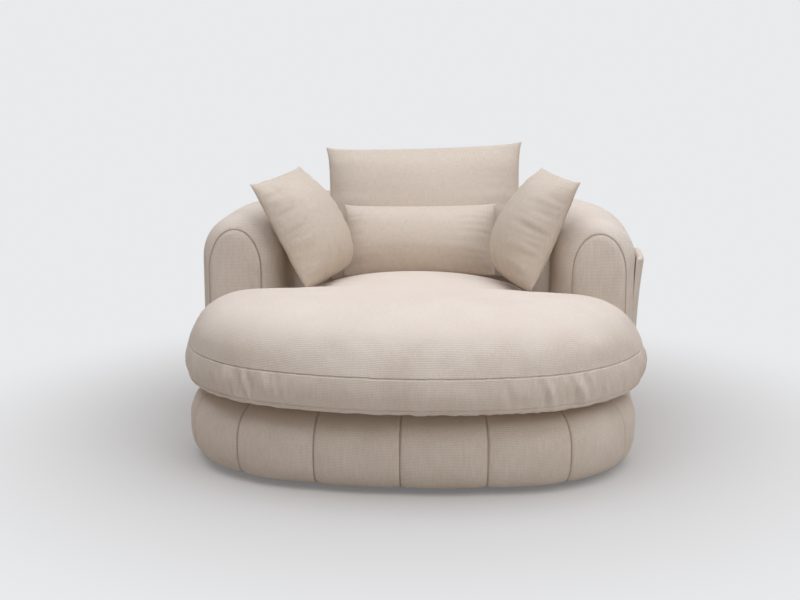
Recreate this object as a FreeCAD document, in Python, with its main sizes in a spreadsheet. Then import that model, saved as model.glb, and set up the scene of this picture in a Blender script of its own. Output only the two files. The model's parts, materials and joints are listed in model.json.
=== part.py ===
import FreeCAD, Part
import math
import os
import Sketcher

os.makedirs("parts", exist_ok=True)
doc = FreeCAD.newDocument("chaise_longue")
V = FreeCAD.Vector
Limit = Sketcher.Constraint
UP = V(0, 0, 1)
BACKWARD = V(0, 1, 0)

# Driving sizes in millimetres and degrees, one cell each; a cell may follow from others.
SIZES = {
    # plan of the base, seen from above
    "half_width": 650,
    "front_line": 262.5,
    "front_reach": 432,
    "front_flatness": 32,
    "front_corner": "=front_reach - front_flatness",
    "back_centre": 87.5,
    # heights of the base
    "glide_height": 18,
    "ply": 18,
    "base_post_height": 163,
    "wire": 4,
    "deck_pad_height": 13.5,
    "cloth": 1.5,
    "fit_gap": 0.4,
    # base rings, posts and glides
    "channel_depth": 60,
    "ring_width": 90,
    "base_post_side": 44,
    "base_post_length": 60,
    "base_post_count": 12,
    "cross_board_width": 120,
    "glide_foot_radius": 21,
    "glide_top_radius": 25,
    "glide_count": 8,
    "stud_radius": 4,
    "stud_length": 27,
    "stud_in_glide": 12,
    # springs, clips and deck
    "spring_count": 9,
    "spring_pitch": 105,
    "spring_first": 425,
    "spring_bend": 20,
    "spring_bar": 24,
    "spring_bearing": 18,
    "clip_length": 26,
    "clip_wall": 3,
    "clip_roof": 2,
    "edge_roll_width": 50,
    # channels round the base
    "channel_count": 19,
    "channel_top_gap": 1.5,
    "channel_edge": 32,
    "seam_depth": 12,
    "seam_edge": 6,
    "cover": 2,
    # barrel: arms and back in one sweep
    "arm_width": 250,
    "arm_front": 162.5,
    "arm_bottom": 241,
    "rim_height": 680,
    "arm_front_round": 40,
    "rail_inset": 63,
    "rail_width": 50,
    "top_rail_height": 575,
    "barrel_post_length": 60,
    "barrel_post_side": 45,
    "back_post_count": 7,
    "board_inset": 28,
    "board_back": 44,
    "panel_inset": 43,
    # bolts that hold the barrel on the base
    "bolt_radius": 4,
    "bolt_play": 0.3,
    "bolt_head_radius": 7,
    "bolt_head": 5.3,
    "bolt_tail": 9,
    "nut_radius": 7,
    "nut_height": 6.5,
    "back_bolt_count": 6,
    # seat cushion
    "seat_half_width": 657,
    "seat_reach": 475,
    "seat_flatness": 35,
    "wing_gap": 9.5,
    "wing_corner": 85,
    "neck_gap": 5,
    "neck_corner": 40,
    "seat_lift_gap": 0.6,
    "seat_border": 101,
    "seat_crown": 144,
    "seat_cover": 2.5,
    # side pocket on the outside of one arm
    "pocket_front": 120,
    "pocket_length": 200,
    "pocket_bottom": 302,
    "pocket_top": 556,
    "pocket_mouth": 13,
    "pocket_foot": 2.5,
    "pocket_panel": 8,
    "pocket_side": 4,
    "hem_radius": 11,
    # loose pillows
    "pillow_cover": 2.5,
    "pillow_edge": 7,
    "back_pillow_width": 612,
    "back_pillow_height": 448,
    "back_pillow_belly": 80,
    "back_pillow_rear": 24,
    "back_pillow_draw": 16,
    "back_pillow_x": -12,
    "back_pillow_y": 337.5,
    "back_pillow_z": 628.8,
    "back_pillow_turn": 0,
    "back_pillow_lean": 20,
    "back_pillow_roll": -2.2,
    "lumbar_width": 488,
    "lumbar_height": 238,
    "lumbar_belly": 68,
    "lumbar_rear": 26,
    "lumbar_draw": 9,
    "lumbar_x": -13,
    "lumbar_y": 200,
    "lumbar_z": 557.3,
    "lumbar_turn": 0,
    "lumbar_lean": 27,
    "lumbar_roll": -1.2,
    "throw_width": 350,
    "throw_height": 345,
    "throw_belly": 96,
    "throw_rear": 32,
    "throw_draw": 6,
    "left_throw_gap": 46,
    "left_throw_x": "=arm_width + left_throw_gap - half_width",
    "left_throw_y": -40,
    "left_throw_z": 634.3,
    "left_throw_turn": 73,
    "left_throw_lean": 28.6,
    "left_throw_roll": -3.5,
    "right_throw_gap": 42,
    "right_throw_x": "=half_width - arm_width - right_throw_gap",
    "right_throw_y": -40,
    "right_throw_z": 636.6,
    "right_throw_turn": -72,
    "right_throw_lean": 23.8,
    "right_throw_roll": 1.2,
}

sheet = doc.addObject("Spreadsheet::Sheet", "Sizes")
for row, (name, number) in enumerate(SIZES.items(), start=1):
    sheet.set(f"A{row}", name)
    sheet.set(f"B{row}", str(number))
    sheet.setAlias(f"B{row}", name)
doc.recompute()

PARTS = []


def size(name):
    """Return one driving size from the sheet."""
    return float(sheet.get(name))


def cell(name):
    """Return the words that bind a property to one cell."""
    return "Sizes." + name


# Levels that several pieces share, worked out once from the cells.
RING_TOP = f"({cell('glide_height')} + {cell('ply')})"
UPPER_RING = f"({RING_TOP} + {cell('base_post_height')})"
BASE_TOP = f"({UPPER_RING} + {cell('ply')})"
RAIL_TOP = f"({BASE_TOP} + {cell('ply')})"
DECK_PAD = f"({BASE_TOP} + {cell('wire')} + {cell('fit_gap')})"
DECK = f"({DECK_PAD} + {cell('deck_pad_height')} + {cell('fit_gap')})"
ring_top = size("glide_height") + size("ply")
upper_ring = ring_top + size("base_post_height")
base_top = upper_ring + size("ply")
rail_top = base_top + size("ply")
deck_pad = base_top + size("wire") + size("fit_gap")
deck = deck_pad + size("deck_pad_height") + size("fit_gap")
deck_top = deck + size("cloth")
ring_inset = size("channel_depth") + size("fit_gap")
ring_inner = ring_inset + size("ring_width")
RING_INSET = f"({cell('channel_depth')} + {cell('fit_gap')})"
RING_INNER = f"({RING_INSET} + {cell('ring_width')})"


def keep(piece, label):
    """Name a finished piece and list it for writing."""
    piece.Label = label
    PARTS.append(piece)
    return piece


def bind(thing, **words):
    """Bind properties of one object to expressions of cells."""
    for prop, expression in words.items():
        thing.setExpression(prop.replace("__", "."), expression)
    return thing


def made(kind, name, **words):
    """Add one object and bind its sizes."""
    return bind(doc.addObject(kind, name), **words)


def cut(name, base, tool):
    thing = doc.addObject("Part::Cut", name)
    thing.Base = base
    thing.Tool = tool
    return thing


def fuse(name, shapes):
    thing = doc.addObject("Part::MultiFuse", name)
    thing.Shapes = shapes
    return thing


def common(name, shapes):
    thing = doc.addObject("Part::MultiCommon", name)
    thing.Shapes = shapes
    return thing


def group(name, shapes):
    thing = doc.addObject("Part::Compound", name)
    thing.Links = shapes
    return thing


def mirrored(name, source):
    """Copy a piece to the other side of the middle plane."""
    thing = doc.addObject("Part::Mirroring", name)
    thing.Source = source
    thing.Normal = V(1, 0, 0)
    return thing


def driven(sketch, name, limit, expression):
    """Add one named dimension to a sketch and bind it."""
    index = sketch.addConstraint(limit)
    sketch.renameConstraint(index, name)
    sketch.setExpression("Constraints." + name, expression)


# Plan of the base: a flat front arc, two front corners, straight sides and a round back.
def front_radius(half, reach, corner):
    side = half - corner
    return (side ** 2 + reach ** 2 - corner ** 2) / (2 * (reach - corner))


half = size("half_width")
corner = size("front_corner")
line_y = -size("front_line")
back_y = size("back_centre")
front_r = front_radius(half, size("front_reach"), corner)
front_mid = V(0, line_y - size("front_reach") + front_r, 0)
corner_mid = V(half - corner, line_y, 0)
join_angle = math.atan2(corner_mid.y - front_mid.y, corner_mid.x)

plan = doc.addObject("Sketcher::SketchObject", "plan")
front_arc = Part.ArcOfCircle(Part.Circle(front_mid, UP, front_r), -math.pi - join_angle, join_angle)
right_arc = Part.ArcOfCircle(Part.Circle(corner_mid, UP, corner), join_angle, 0)
left_mid = V(-corner_mid.x, corner_mid.y, 0)
left_arc = Part.ArcOfCircle(Part.Circle(left_mid, UP, corner), math.pi, math.pi - join_angle)
back_arc = Part.ArcOfCircle(Part.Circle(V(0, back_y, 0), UP, half), 0, math.pi)
front = plan.addGeometry(front_arc, False)
right_corner = plan.addGeometry(right_arc, False)
right_side = plan.addGeometry(Part.LineSegment(V(half, line_y, 0), V(half, back_y, 0)), False)
back = plan.addGeometry(back_arc, False)
left_side = plan.addGeometry(Part.LineSegment(V(-half, back_y, 0), V(-half, line_y, 0)), False)
left_corner = plan.addGeometry(left_arc, False)
plan.addConstraint([
    Limit("Tangent", front, 2, right_corner, 1),
    Limit("Tangent", right_corner, 2, right_side, 1),
    Limit("Tangent", right_side, 2, back, 1),
    Limit("Coincident", back, 2, left_side, 1),
    Limit("Tangent", left_side, 2, left_corner, 1),
    Limit("Tangent", left_corner, 2, front, 1),
    Limit("Symmetric", right_side, 1, left_side, 2, -2),
    Limit("Symmetric", right_side, 2, left_side, 1, -2),
    Limit("Equal", right_corner, left_corner),
    Limit("Vertical", right_side),
])
driven(plan, "width", Limit("DistanceX", -1, 1, right_side, 1, half), cell("half_width"))
driven(plan, "shoulder", Limit("DistanceY", right_side, 1, -1, 1, -line_y), cell("front_line"))
driven(plan, "back", Limit("DistanceY", -1, 1, right_side, 2, back_y), cell("back_centre"))
driven(plan, "corner", Limit("Radius", right_corner, corner), cell("front_corner"))
FRONT_RADIUS = (
    f"(({cell('half_width')} - {cell('front_corner')})^2 + {cell('front_reach')}^2"
    f" - {cell('front_corner')}^2) / (2 * ({cell('front_reach')} - {cell('front_corner')}))"
)
driven(plan, "front_radius", Limit("Radius", front, front_r), FRONT_RADIUS)


def slab(name, inset, bottom, height):
    """Make a flat plate from the plan drawn in by an inset."""
    outline = made("Part::Offset2D", name + "_line", Value=f"-{inset}")
    outline.Source = plan
    plate = made("Part::Extrusion", name, LengthRev=f"-{bottom}", LengthFwd=f"{bottom} + {height}")
    plate.Base = outline
    plate.DirMode = "Custom"
    plate.Dir = UP
    plate.Solid = True
    return plate


def station(distance, inset):
    """Return a plan point and its outward direction at a distance from the front middle."""
    side = 1 if distance >= 0 else -1
    left = abs(distance)
    front_run = front_r * (join_angle + math.pi / 2)
    corner_run = -corner * join_angle
    side_run = back_y - line_y
    if left <= front_run:
        angle = left / front_r - math.pi / 2
        middle, radius = front_mid, front_r
    elif left <= front_run + corner_run:
        angle = join_angle + (left - front_run) / corner
        middle, radius = corner_mid, corner
    elif left <= front_run + corner_run + side_run:
        y = line_y + left - front_run - corner_run
        return V(side * (half - inset), y, 0), V(side, 0, 0)
    else:
        angle = (left - front_run - corner_run - side_run) / half
        middle, radius = V(0, back_y, 0), half
    out = V(math.cos(angle), math.sin(angle), 0)
    point = middle + out * (radius - inset)
    return V(side * point.x, point.y, 0), V(side * out.x, out.y, 0)


plan_length = 2 * (front_r * (join_angle + math.pi / 2) - corner * join_angle)
plan_length += 2 * (back_y - line_y) + math.pi * half


def inner_half_width(y, inset):
    """Return the half width of the plan, drawn in by an inset, at one depth."""
    if y > back_y:
        return math.sqrt((half - inset) ** 2 - (y - back_y) ** 2)
    if y > line_y:
        return half - inset
    join_y = front_mid.y + (front_r - inset) * math.sin(join_angle)
    if y > join_y:
        return corner_mid.x + math.sqrt((corner - inset) ** 2 - (y - line_y) ** 2)
    return math.sqrt((front_r - inset) ** 2 - (y - front_mid.y) ** 2)


def turned(point, out):
    """Place a piece at a plan point with its own X along the outward direction."""
    return FreeCAD.Placement(point, FreeCAD.Rotation(V(1, 0, 0), out))


def block(name, point, out, deep, wide, bottom, height):
    """Make a post whose depth lies along the outward direction at a plan point."""
    post = made("Part::Box", name, Length=cell(deep), Width=cell(wide), Height=height)
    across = UP.cross(out)
    start = point - out * (size(deep) / 2) - across * (size(wide) / 2)
    post.Placement = turned(V(start.x, start.y, bottom), out)
    return post


def peg(name, point, radius, bottom, height):
    """Make an upright cylinder at a plan point."""
    rod = made("Part::Cylinder", name, Radius=radius, Height=height)
    rod.Placement.Base = V(point.x, point.y, bottom)
    return rod


# Glides: turned plastic feet with a steel stud each, one under the middle of the base.
middle_inset = ring_inset + size("ring_width") / 2
glide_spots = [V(0, 0, 0)]
for number in range(int(size("glide_count"))):
    spot, out = station((number + 0.5) * plan_length / size("glide_count") - plan_length / 2, middle_inset)
    glide_spots.append(spot)
glides = []
studs = []
stud_holes = []
glide_holes = []
stud_bottom = size("glide_height") - size("stud_in_glide")
for number, spot in enumerate(glide_spots):
    foot = made(
        "Part::Cone", f"glide_blank_{number}", Radius1=cell("glide_foot_radius"),
        Radius2=cell("glide_top_radius"), Height=cell("glide_height"),
    )
    foot.Placement.Base = spot
    socket = peg(f"glide_socket_{number}", spot, cell("stud_radius"), stud_bottom, cell("stud_in_glide"))
    glides.append(cut(f"glide_{number}", foot, socket))
    studs.append(peg(f"stud_{number}", spot, cell("stud_radius"), stud_bottom, cell("stud_length")))
    hole_radius = f"{cell('stud_radius')} + {cell('fit_gap')}"
    stud_holes.append(peg(f"stud_hole_{number}", spot, hole_radius, 0, RING_TOP))
    glide_room = f"{cell('glide_top_radius')} + {cell('fit_gap')}"
    glide_holes.append(peg(f"glide_hole_{number}", spot, glide_room, 0, RING_TOP))
keep(group("glides", glides), "glides")
keep(group("glide_studs", studs), "glide_studs")

# Lower ring, board across it for the middle glide, and the thin cloth below.
lower_outer = slab("lower_outer", RING_INSET, cell("glide_height"), cell("ply"))
lower_inner = slab("lower_inner", RING_INNER, cell("glide_height"), cell("ply"))
lower_ring = cut("lower_ring", lower_outer, lower_inner)
keep(cut("base_bottom_ring", lower_ring, group("ring_stud_holes", stud_holes)), "base_bottom_ring")
board_blank = made(
    "Part::Box", "cross_board_blank", Length=f"2 * {cell('half_width')}",
    Width=cell("cross_board_width"), Height=cell("ply"),
    Placement__Base__x=f"-{cell('half_width')}", Placement__Base__y=f"-{cell('cross_board_width')} / 2",
    Placement__Base__z=cell("glide_height"),
)
board_reach = slab("board_reach", RING_INNER, cell("glide_height"), cell("ply"))
cross_board = common("cross_board", [board_blank, board_reach])
keep(cut("base_cross_board", cross_board, stud_holes[0]), "base_cross_board")
under_blank = slab("under_blank", RING_INSET, f"({cell('glide_height')} - {cell('cloth')})", cell("cloth"))
keep(cut("dust_cover", under_blank, group("cloth_holes", glide_holes)), "dust_cover")

# Posts between the two rings, set between the glides.
posts = []
post_inset = ring_inner - size("base_post_side") / 2 - size("fit_gap")
for number in range(int(size("base_post_count"))):
    run = (number + 0.5) * plan_length / size("base_post_count") - plan_length / 2
    spot, out = station(run, post_inset)
    posts.append(
        block(f"base_post_{number}", spot, out, "base_post_side", "base_post_length", ring_top,
              cell("base_post_height"))
    )
keep(group("base_posts", posts), "base_posts")

# Bolts that hold the barrel rail down on the upper ring.
rail_middle = size("rail_inset") + size("rail_width") / 2
arm_bolt_y = (back_y - size("arm_front")) / 2
bolt_spots = [V(half - rail_middle, arm_bolt_y, 0), V(rail_middle - half, arm_bolt_y, 0)]
back_step = math.pi / size("back_bolt_count")
for number in range(int(size("back_bolt_count"))):
    angle = (number + 0.5) * back_step
    reach = half - rail_middle
    bolt_spots.append(V(reach * math.cos(angle), back_y + reach * math.sin(angle), 0))
bolts = []
nuts = []
bolt_holes = []
for number, spot in enumerate(bolt_spots):
    shank_length = f"2 * {cell('ply')} + {cell('bolt_tail')}"
    shank = peg(f"bolt_shank_{number}", spot, cell("bolt_radius"), upper_ring, shank_length)
    head = made(
        "Part::Prism", f"bolt_head_{number}", Circumradius=cell("bolt_head_radius"), Height=cell("bolt_head"),
    )
    head.Polygon = 6
    head.Placement.Base = V(spot.x, spot.y, upper_ring - size("bolt_head"))
    bolts.append(fuse(f"bolt_{number}", [shank, head]))
    nut_blank = made(
        "Part::Prism", f"nut_blank_{number}", Circumradius=cell("nut_radius"), Height=cell("nut_height"),
    )
    nut_blank.Polygon = 6
    nut_blank.Placement.Base = V(spot.x, spot.y, rail_top)
    nut_bore = peg(f"nut_bore_{number}", spot, f"{cell('bolt_radius')} + {cell('bolt_play')} / 3",
                   rail_top, cell("nut_height"))
    nuts.append(cut(f"nut_{number}", nut_blank, nut_bore))
    bolt_holes.append(
        peg(f"bolt_hole_{number}", spot, f"{cell('bolt_radius')} + {cell('bolt_play')}", upper_ring,
            f"2 * {cell('ply')}")
    )
keep(group("barrel_bolts", bolts), "barrel_bolts")
keep(group("barrel_nuts", nuts), "barrel_nuts")

# Upper ring, with holes for the barrel bolts.
upper_outer = slab("upper_outer", RING_INSET, UPPER_RING, cell("ply"))
upper_inner = slab("upper_inner", RING_INNER, UPPER_RING, cell("ply"))
upper_blank = cut("upper_blank", upper_outer, upper_inner)
keep(cut("base_top_ring", upper_blank, group("ring_bolt_holes", bolt_holes)), "base_top_ring")


# Zigzag springs from side to side, each end held to the upper ring by a clip.
def spring_wire(y, reach):
    """Return one zigzag spring, its last bars on the ring at both ends."""
    turns = round(reach / size("spring_bend"))
    bend = reach / turns
    bar = size("spring_bar") / 2
    start_x = -reach
    height = base_top + size("wire") / 2
    edges = []
    for number in range(turns + 1):
        x = start_x + number * 2 * bend
        rise = 1 if number % 2 == 0 else -1
        edges.append(Part.makeLine(V(x, y - rise * bar, height), V(x, y + rise * bar, height)))
        if number < turns:
            first = V(x, y + rise * bar, height)
            middle = V(x + bend, y + rise * (bar + bend), height)
            last = V(x + 2 * bend, y + rise * bar, height)
            edges.append(Part.Arc(first, middle, last).toShape())
    path = Part.Wire(edges)
    ring = Part.Circle(V(start_x, y - bar, height), BACKWARD, size("wire") / 2).toShape()
    return path.makePipeShell([Part.Wire([ring])], True, False)


springs = []
clips = []
for number in range(int(size("spring_count"))):
    y = number * size("spring_pitch") - size("spring_first")
    clip_half = size("clip_length") / 2
    opening = max(inner_half_width(y - clip_half, ring_inner), inner_half_width(y + clip_half, ring_inner))
    end_x = opening + size("spring_bearing")
    springs.append(spring_wire(y, end_x))
    for x in (end_x, -end_x):
        wall = size("clip_wall")
        room = size("wire") + 2 * size("fit_gap")
        length = size("clip_length")
        high = size("wire") + size("fit_gap")
        low = V(x - room / 2 - wall, y - length / 2, base_top)
        outside = Part.makeBox(room + 2 * wall, length, high + size("clip_roof"), low)
        inside = Part.makeBox(room, length, high, V(x - room / 2, y - length / 2, base_top))
        clips.append(outside.cut(inside))
spring_set = doc.addObject("Part::Feature", "seat_springs")
spring_set.Shape = Part.makeCompound(springs)
keep(spring_set, "seat_springs")
clip_set = doc.addObject("Part::Feature", "spring_clips")
clip_set.Shape = Part.makeCompound(clips)
keep(clip_set, "spring_clips")

# Deck: felt pad on the springs, foam roll on the front of the ring, cloth over both.
pad_inset = f"({RING_INNER} + {cell('clip_wall')})"
keep(slab("deck_pad", pad_inset, DECK_PAD, cell("deck_pad_height")), "deck_pad")
roll_height = f"({DECK} - {BASE_TOP} - {cell('fit_gap')})"
roll_outer = slab("roll_outer", RING_INSET, BASE_TOP, roll_height)
roll_inner = slab("roll_inner", f"({RING_INSET} + {cell('edge_roll_width')})", BASE_TOP, roll_height)
roll_ring = cut("roll_ring", roll_outer, roll_inner)
roll_room = made(
    "Part::Box", "roll_room", Length=f"2 * {cell('half_width')}",
    Width=f"2 * {cell('half_width')}", Height="400",
    Placement__Base__x=f"-{cell('half_width')}",
    Placement__Base__y=f"-{cell('arm_front')} + {cell('board_back')} - {cell('ply')} - {cell('fit_gap')}",
)
keep(cut("deck_edge_roll", roll_ring, roll_room), "deck_edge_roll")
cloth_front = slab("cloth_front", RING_INSET, DECK, cell("cloth"))
cloth_back = slab(
    "cloth_back", f"({cell('rail_inset')} + {cell('rail_width')} + {cell('fit_gap')})", DECK, cell("cloth"),
)
cloth_room = cut("cloth_room", roll_room, cloth_back)
keep(cut("deck_cloth", cloth_front, cloth_room), "deck_cloth")

# Channels round the base: each one a crescent of cover over a block of foam.
channel_top = deck_top - size("channel_top_gap")
channel_low = size("glide_height") - size("cloth")


def channel_wire(run, share, skin):
    """Return the section of one channel at a share of its width, for the cover or the foam."""
    point, out = station(run, 0)
    fall = (1 - math.sin(math.pi * share)) ** 1.5
    face = size("seam_depth") * fall
    edge = size("channel_edge") + size("seam_edge") * fall
    middle = (channel_top + channel_low) / 2

    def at(inset, height):
        return point - out * inset + UP * height

    inner = size("cover") + (0 if skin else size("fit_gap"))
    low_in, top_in = at(edge + inner, channel_low), at(edge + inner, channel_top)
    inside = Part.Arc(top_in, at(face + inner, middle), low_in)
    if skin:
        low_out, top_out = at(edge, channel_low), at(edge, channel_top)
        outside = Part.Arc(low_out, at(face, middle), top_out)
        edges = [outside.toShape(), Part.makeLine(top_out, top_in), inside.toShape(),
                 Part.makeLine(low_in, low_out)]
    else:
        low_back = at(size("channel_depth"), channel_low)
        top_back = at(size("channel_depth"), channel_top)
        edges = [inside.toShape(), Part.makeLine(low_in, low_back), Part.makeLine(low_back, top_back),
                 Part.makeLine(top_back, top_in)]
    return Part.Wire(edges)


SHARES = (0, 0.2, 0.5, 0.8, 1)
channel_step = plan_length / size("channel_count")
channel_covers = []
channel_foams = []
for number in range(int(size("channel_count"))):
    first = number * channel_step
    for skin, solids in ((True, channel_covers), (False, channel_foams)):
        wires = []
        for share in SHARES:
            run = first + share * channel_step
            if run > plan_length / 2:
                run -= plan_length
            wires.append(channel_wire(run, share, skin))
        solids.append(Part.makeLoft(wires, True))
channel_cover = doc.addObject("Part::Feature", "base_channel_cover")
channel_cover.Shape = Part.makeCompound(channel_covers)
keep(channel_cover, "base_channel_cover")
channel_foam = doc.addObject("Part::Feature", "base_channel_foam")
channel_foam.Shape = Part.makeCompound(channel_foams)
keep(channel_foam, "base_channel_foam")


# Barrel: rails and posts in the wall, foam over them, one cover over the foam.
def arm_profile(name, y):
    """Draw the round-topped section of the arm in an upright plane."""
    profile = doc.addObject("Sketcher::SketchObject", name)
    profile.Placement = FreeCAD.Placement(V(0, 0, 0), FreeCAD.Rotation(V(1, 0, 0), 90))
    profile.setExpression("Placement.Base.y", y)
    outer = size("half_width")
    inner = outer - size("arm_width")
    low = size("arm_bottom")
    spring = size("rim_height") - size("arm_width") / 2
    round_top = Part.Circle(V((outer + inner) / 2, spring, 0), UP, size("arm_width") / 2)
    bottom = profile.addGeometry(Part.LineSegment(V(inner, low, 0), V(outer, low, 0)), False)
    outside = profile.addGeometry(Part.LineSegment(V(outer, low, 0), V(outer, spring, 0)), False)
    top = profile.addGeometry(Part.ArcOfCircle(round_top, 0, math.pi), False)
    inside = profile.addGeometry(Part.LineSegment(V(inner, spring, 0), V(inner, low, 0)), False)
    profile.addConstraint([
        Limit("Coincident", bottom, 2, outside, 1),
        Limit("Tangent", outside, 2, top, 1),
        Limit("Tangent", top, 2, inside, 1),
        Limit("Coincident", inside, 2, bottom, 1),
        Limit("Horizontal", bottom),
        Limit("Vertical", outside),
        Limit("Vertical", inside),
    ])
    driven(profile, "outer", Limit("DistanceX", -1, 1, outside, 1, outer), cell("half_width"))
    driven(profile, "width", Limit("DistanceX", bottom, 1, bottom, 2, outer - inner), cell("arm_width"))
    driven(profile, "low", Limit("DistanceY", -1, 1, bottom, 1, low), cell("arm_bottom"))
    spring_words = f"{cell('rim_height')} - {cell('arm_width')} / 2"
    driven(profile, "spring", Limit("DistanceY", -1, 1, outside, 2, spring), spring_words)
    return profile


front_profile = arm_profile("front_profile", f"-{cell('arm_front')}")
back_profile = arm_profile("back_profile", cell("back_centre"))
COVER_AND_GAP = f"({cell('cover')} + {cell('fit_gap')})"


def drawn_in(name, profile, inset):
    thing = made("Part::Offset2D", name, Value=f"-{inset}")
    thing.Source = profile
    return thing


def along_arm(name, profile, start, end):
    """Extend an arm section backwards between two depths from the arm front."""
    thing = made("Part::Extrusion", name, LengthRev=f"-{start}", LengthFwd=end)
    thing.Base = profile
    thing.DirMode = "Custom"
    thing.Dir = BACKWARD
    thing.Solid = True
    return thing


def round_back(name, profile):
    """Turn an arm section round the back."""
    thing = made("Part::Revolution", name, Base__y=cell("back_centre"))
    thing.Source = profile
    thing.Axis = UP
    thing.Angle = 180
    thing.Solid = True
    return thing


def round_front(name, arm, radius):
    """Round the front edge of an arm, leaving the bottom edge sharp."""
    doc.recompute()
    front_y = arm.Shape.BoundBox.YMin
    low = arm.Shape.BoundBox.ZMin
    thing = doc.addObject("Part::Fillet", name)
    thing.Base = arm
    edges = []
    for index, edge in enumerate(arm.Shape.Edges, start=1):
        box = edge.BoundBox
        if box.YMax < front_y + 0.1 and box.ZMax > low + 1:
            edges.append((index, radius, radius))
    thing.Edges = edges
    return thing


ARM_LENGTH = f"{cell('arm_front')} + {cell('back_centre')}"
front_round = size("arm_front_round")
arm_form = round_front("arm_form", along_arm("arm_blank", front_profile, "0", ARM_LENGTH), front_round)
lining = drawn_in("lining_profile", front_profile, cell("cover"))
lining_arm = along_arm("lining_arm", lining, cell("cover"), ARM_LENGTH)
arm_lining = round_front("arm_lining", lining_arm, front_round - size("cover"))
foam_profile = drawn_in("foam_profile", front_profile, COVER_AND_GAP)
foam_arm = along_arm("foam_arm", foam_profile, COVER_AND_GAP, ARM_LENGTH)
foam_round = front_round - size("cover") - size("fit_gap")
arm_foam_form = round_front("arm_foam_form", foam_arm, foam_round)
back_form = round_back("back_form", back_profile)
back_lining = round_back("back_lining", drawn_in("back_lining_profile", back_profile, cell("cover")))
back_foam_form = round_back("back_foam_form", drawn_in("back_foam_profile", back_profile, COVER_AND_GAP))


def wall(name, inset, width, front_y, bottom, height):
    """Make a wall that follows both arms and the back."""
    arm = made(
        "Part::Box", name + "_arm", Length=width, Width=f"{cell('back_centre')} - {front_y}", Height=height,
        Placement__Base__x=f"{cell('half_width')} - {inset} - {width}",
        Placement__Base__y=front_y, Placement__Base__z=bottom,
    )
    place = {"Placement__Base__y": cell("back_centre"), "Placement__Base__z": bottom}
    outer = made("Part::Cylinder", name + "_outer", Radius=f"{cell('half_width')} - {inset}",
                 Height=height, Angle="180", **place)
    inner = made("Part::Cylinder", name + "_inner", Radius=f"{cell('half_width')} - {inset} - {width}",
                 Height=height, Angle="180", **place)
    bend = cut(name + "_bend", outer, inner)
    return fuse(name, [arm, bend, mirrored(name + "_other_arm", arm)])


BOARD_REAR = f"({cell('board_back')} - {cell('arm_front')})"
rail_words = (cell("rail_inset"), cell("rail_width"))
lower_rail = wall("lower_rail", *rail_words, BOARD_REAR, BASE_TOP, cell("ply"))
keep(cut("barrel_bottom_rail", lower_rail, group("rail_bolt_holes", bolt_holes)), "barrel_bottom_rail")
keep(wall("barrel_top_rail", *rail_words, BOARD_REAR, cell("top_rail_height"), cell("ply")), "barrel_top_rail")
room_inset = f"({cell('rail_inset')} - {cell('fit_gap')})"
room_width = f"({cell('rail_width')} + 2 * {cell('fit_gap')})"
room_top = f"{cell('top_rail_height')} + {cell('ply')} + {cell('fit_gap')}"
frame_room = wall("frame_room", room_inset, room_width, BOARD_REAR, "0", room_top)

barrel_posts = []
post_height = f"{cell('top_rail_height')} - {RAIL_TOP}"
arm_post_y = (size("board_back") - size("arm_front")) + size("barrel_post_length") / 2 + 1
for side in (1, -1):
    spot = V(side * (half - rail_middle), arm_post_y, 0)
    barrel_posts.append(
        block(f"arm_post_{side + 1}", spot, V(side, 0, 0), "barrel_post_side", "barrel_post_length", rail_top,
              post_height)
    )
for number in range(int(size("back_post_count"))):
    angle = math.pi * number / (size("back_post_count") - 1)
    out = V(math.cos(angle), math.sin(angle), 0)
    spot = V(0, back_y, 0) + out * (half - rail_middle)
    barrel_posts.append(
        block(f"back_post_{number}", spot, out, "barrel_post_side", "barrel_post_length", rail_top, post_height)
    )
keep(group("barrel_posts", barrel_posts), "barrel_posts")

# Front board of each arm, which the rails butt against.
board_profile = drawn_in("board_profile", front_profile, cell("board_inset"))
BOARD_FRONT = f"({cell('board_back')} - {cell('ply')})"
board_upper = along_arm("board_upper", board_profile, BOARD_FRONT, cell("board_back"))
board_foot = made(
    "Part::Box", "board_foot",
    Length=f"{cell('arm_width')} - 2 * {cell('board_inset')}", Width=cell("ply"),
    Height=f"{cell('arm_bottom')} + 2 * {cell('board_inset')} - {BASE_TOP} - {cell('fit_gap')}",
    Placement__Base__x=f"{cell('half_width')} - {cell('arm_width')} + {cell('board_inset')}",
    Placement__Base__y=f"{BOARD_FRONT} - {cell('arm_front')}",
    Placement__Base__z=f"{DECK} + {cell('cloth')} + {cell('fit_gap')}",
)
right_board = fuse("right_board", [board_upper, board_foot])
keep(right_board, "right_arm_front_board")
keep(mirrored("left_board", right_board), "left_arm_front_board")
board_room_profile = drawn_in("board_room_profile", front_profile, f"({cell('board_inset')} - {cell('fit_gap')})")
board_room_upper = along_arm(
    "board_room_upper", board_room_profile, f"({BOARD_FRONT} - {cell('fit_gap')})",
    f"{cell('board_back')} + {cell('fit_gap')}",
)
board_room_foot = made(
    "Part::Box", "board_room_foot",
    Length=f"{cell('arm_width')} - 2 * {cell('board_inset')} + 2 * {cell('fit_gap')}",
    Width=f"{cell('ply')} + 2 * {cell('fit_gap')}", Height=f"{cell('arm_bottom')} + 2 * {cell('board_inset')}",
    Placement__Base__x=f"{cell('half_width')} - {cell('arm_width')} + {cell('board_inset')} - {cell('fit_gap')}",
    Placement__Base__y=f"{BOARD_FRONT} - {cell('arm_front')} - {cell('fit_gap')}",
)
board_room = fuse("board_room", [board_room_upper, board_room_foot])

# Foam of the arms and of the back, hollow for the frame.
right_room = fuse("right_room", [frame_room, board_room])
right_foam = cut("right_foam", arm_foam_form, right_room)
keep(right_foam, "right_arm_foam")
keep(mirrored("left_foam", right_foam), "left_arm_foam")
keep(cut("back_foam", back_foam_form, frame_room), "back_foam")

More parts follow.
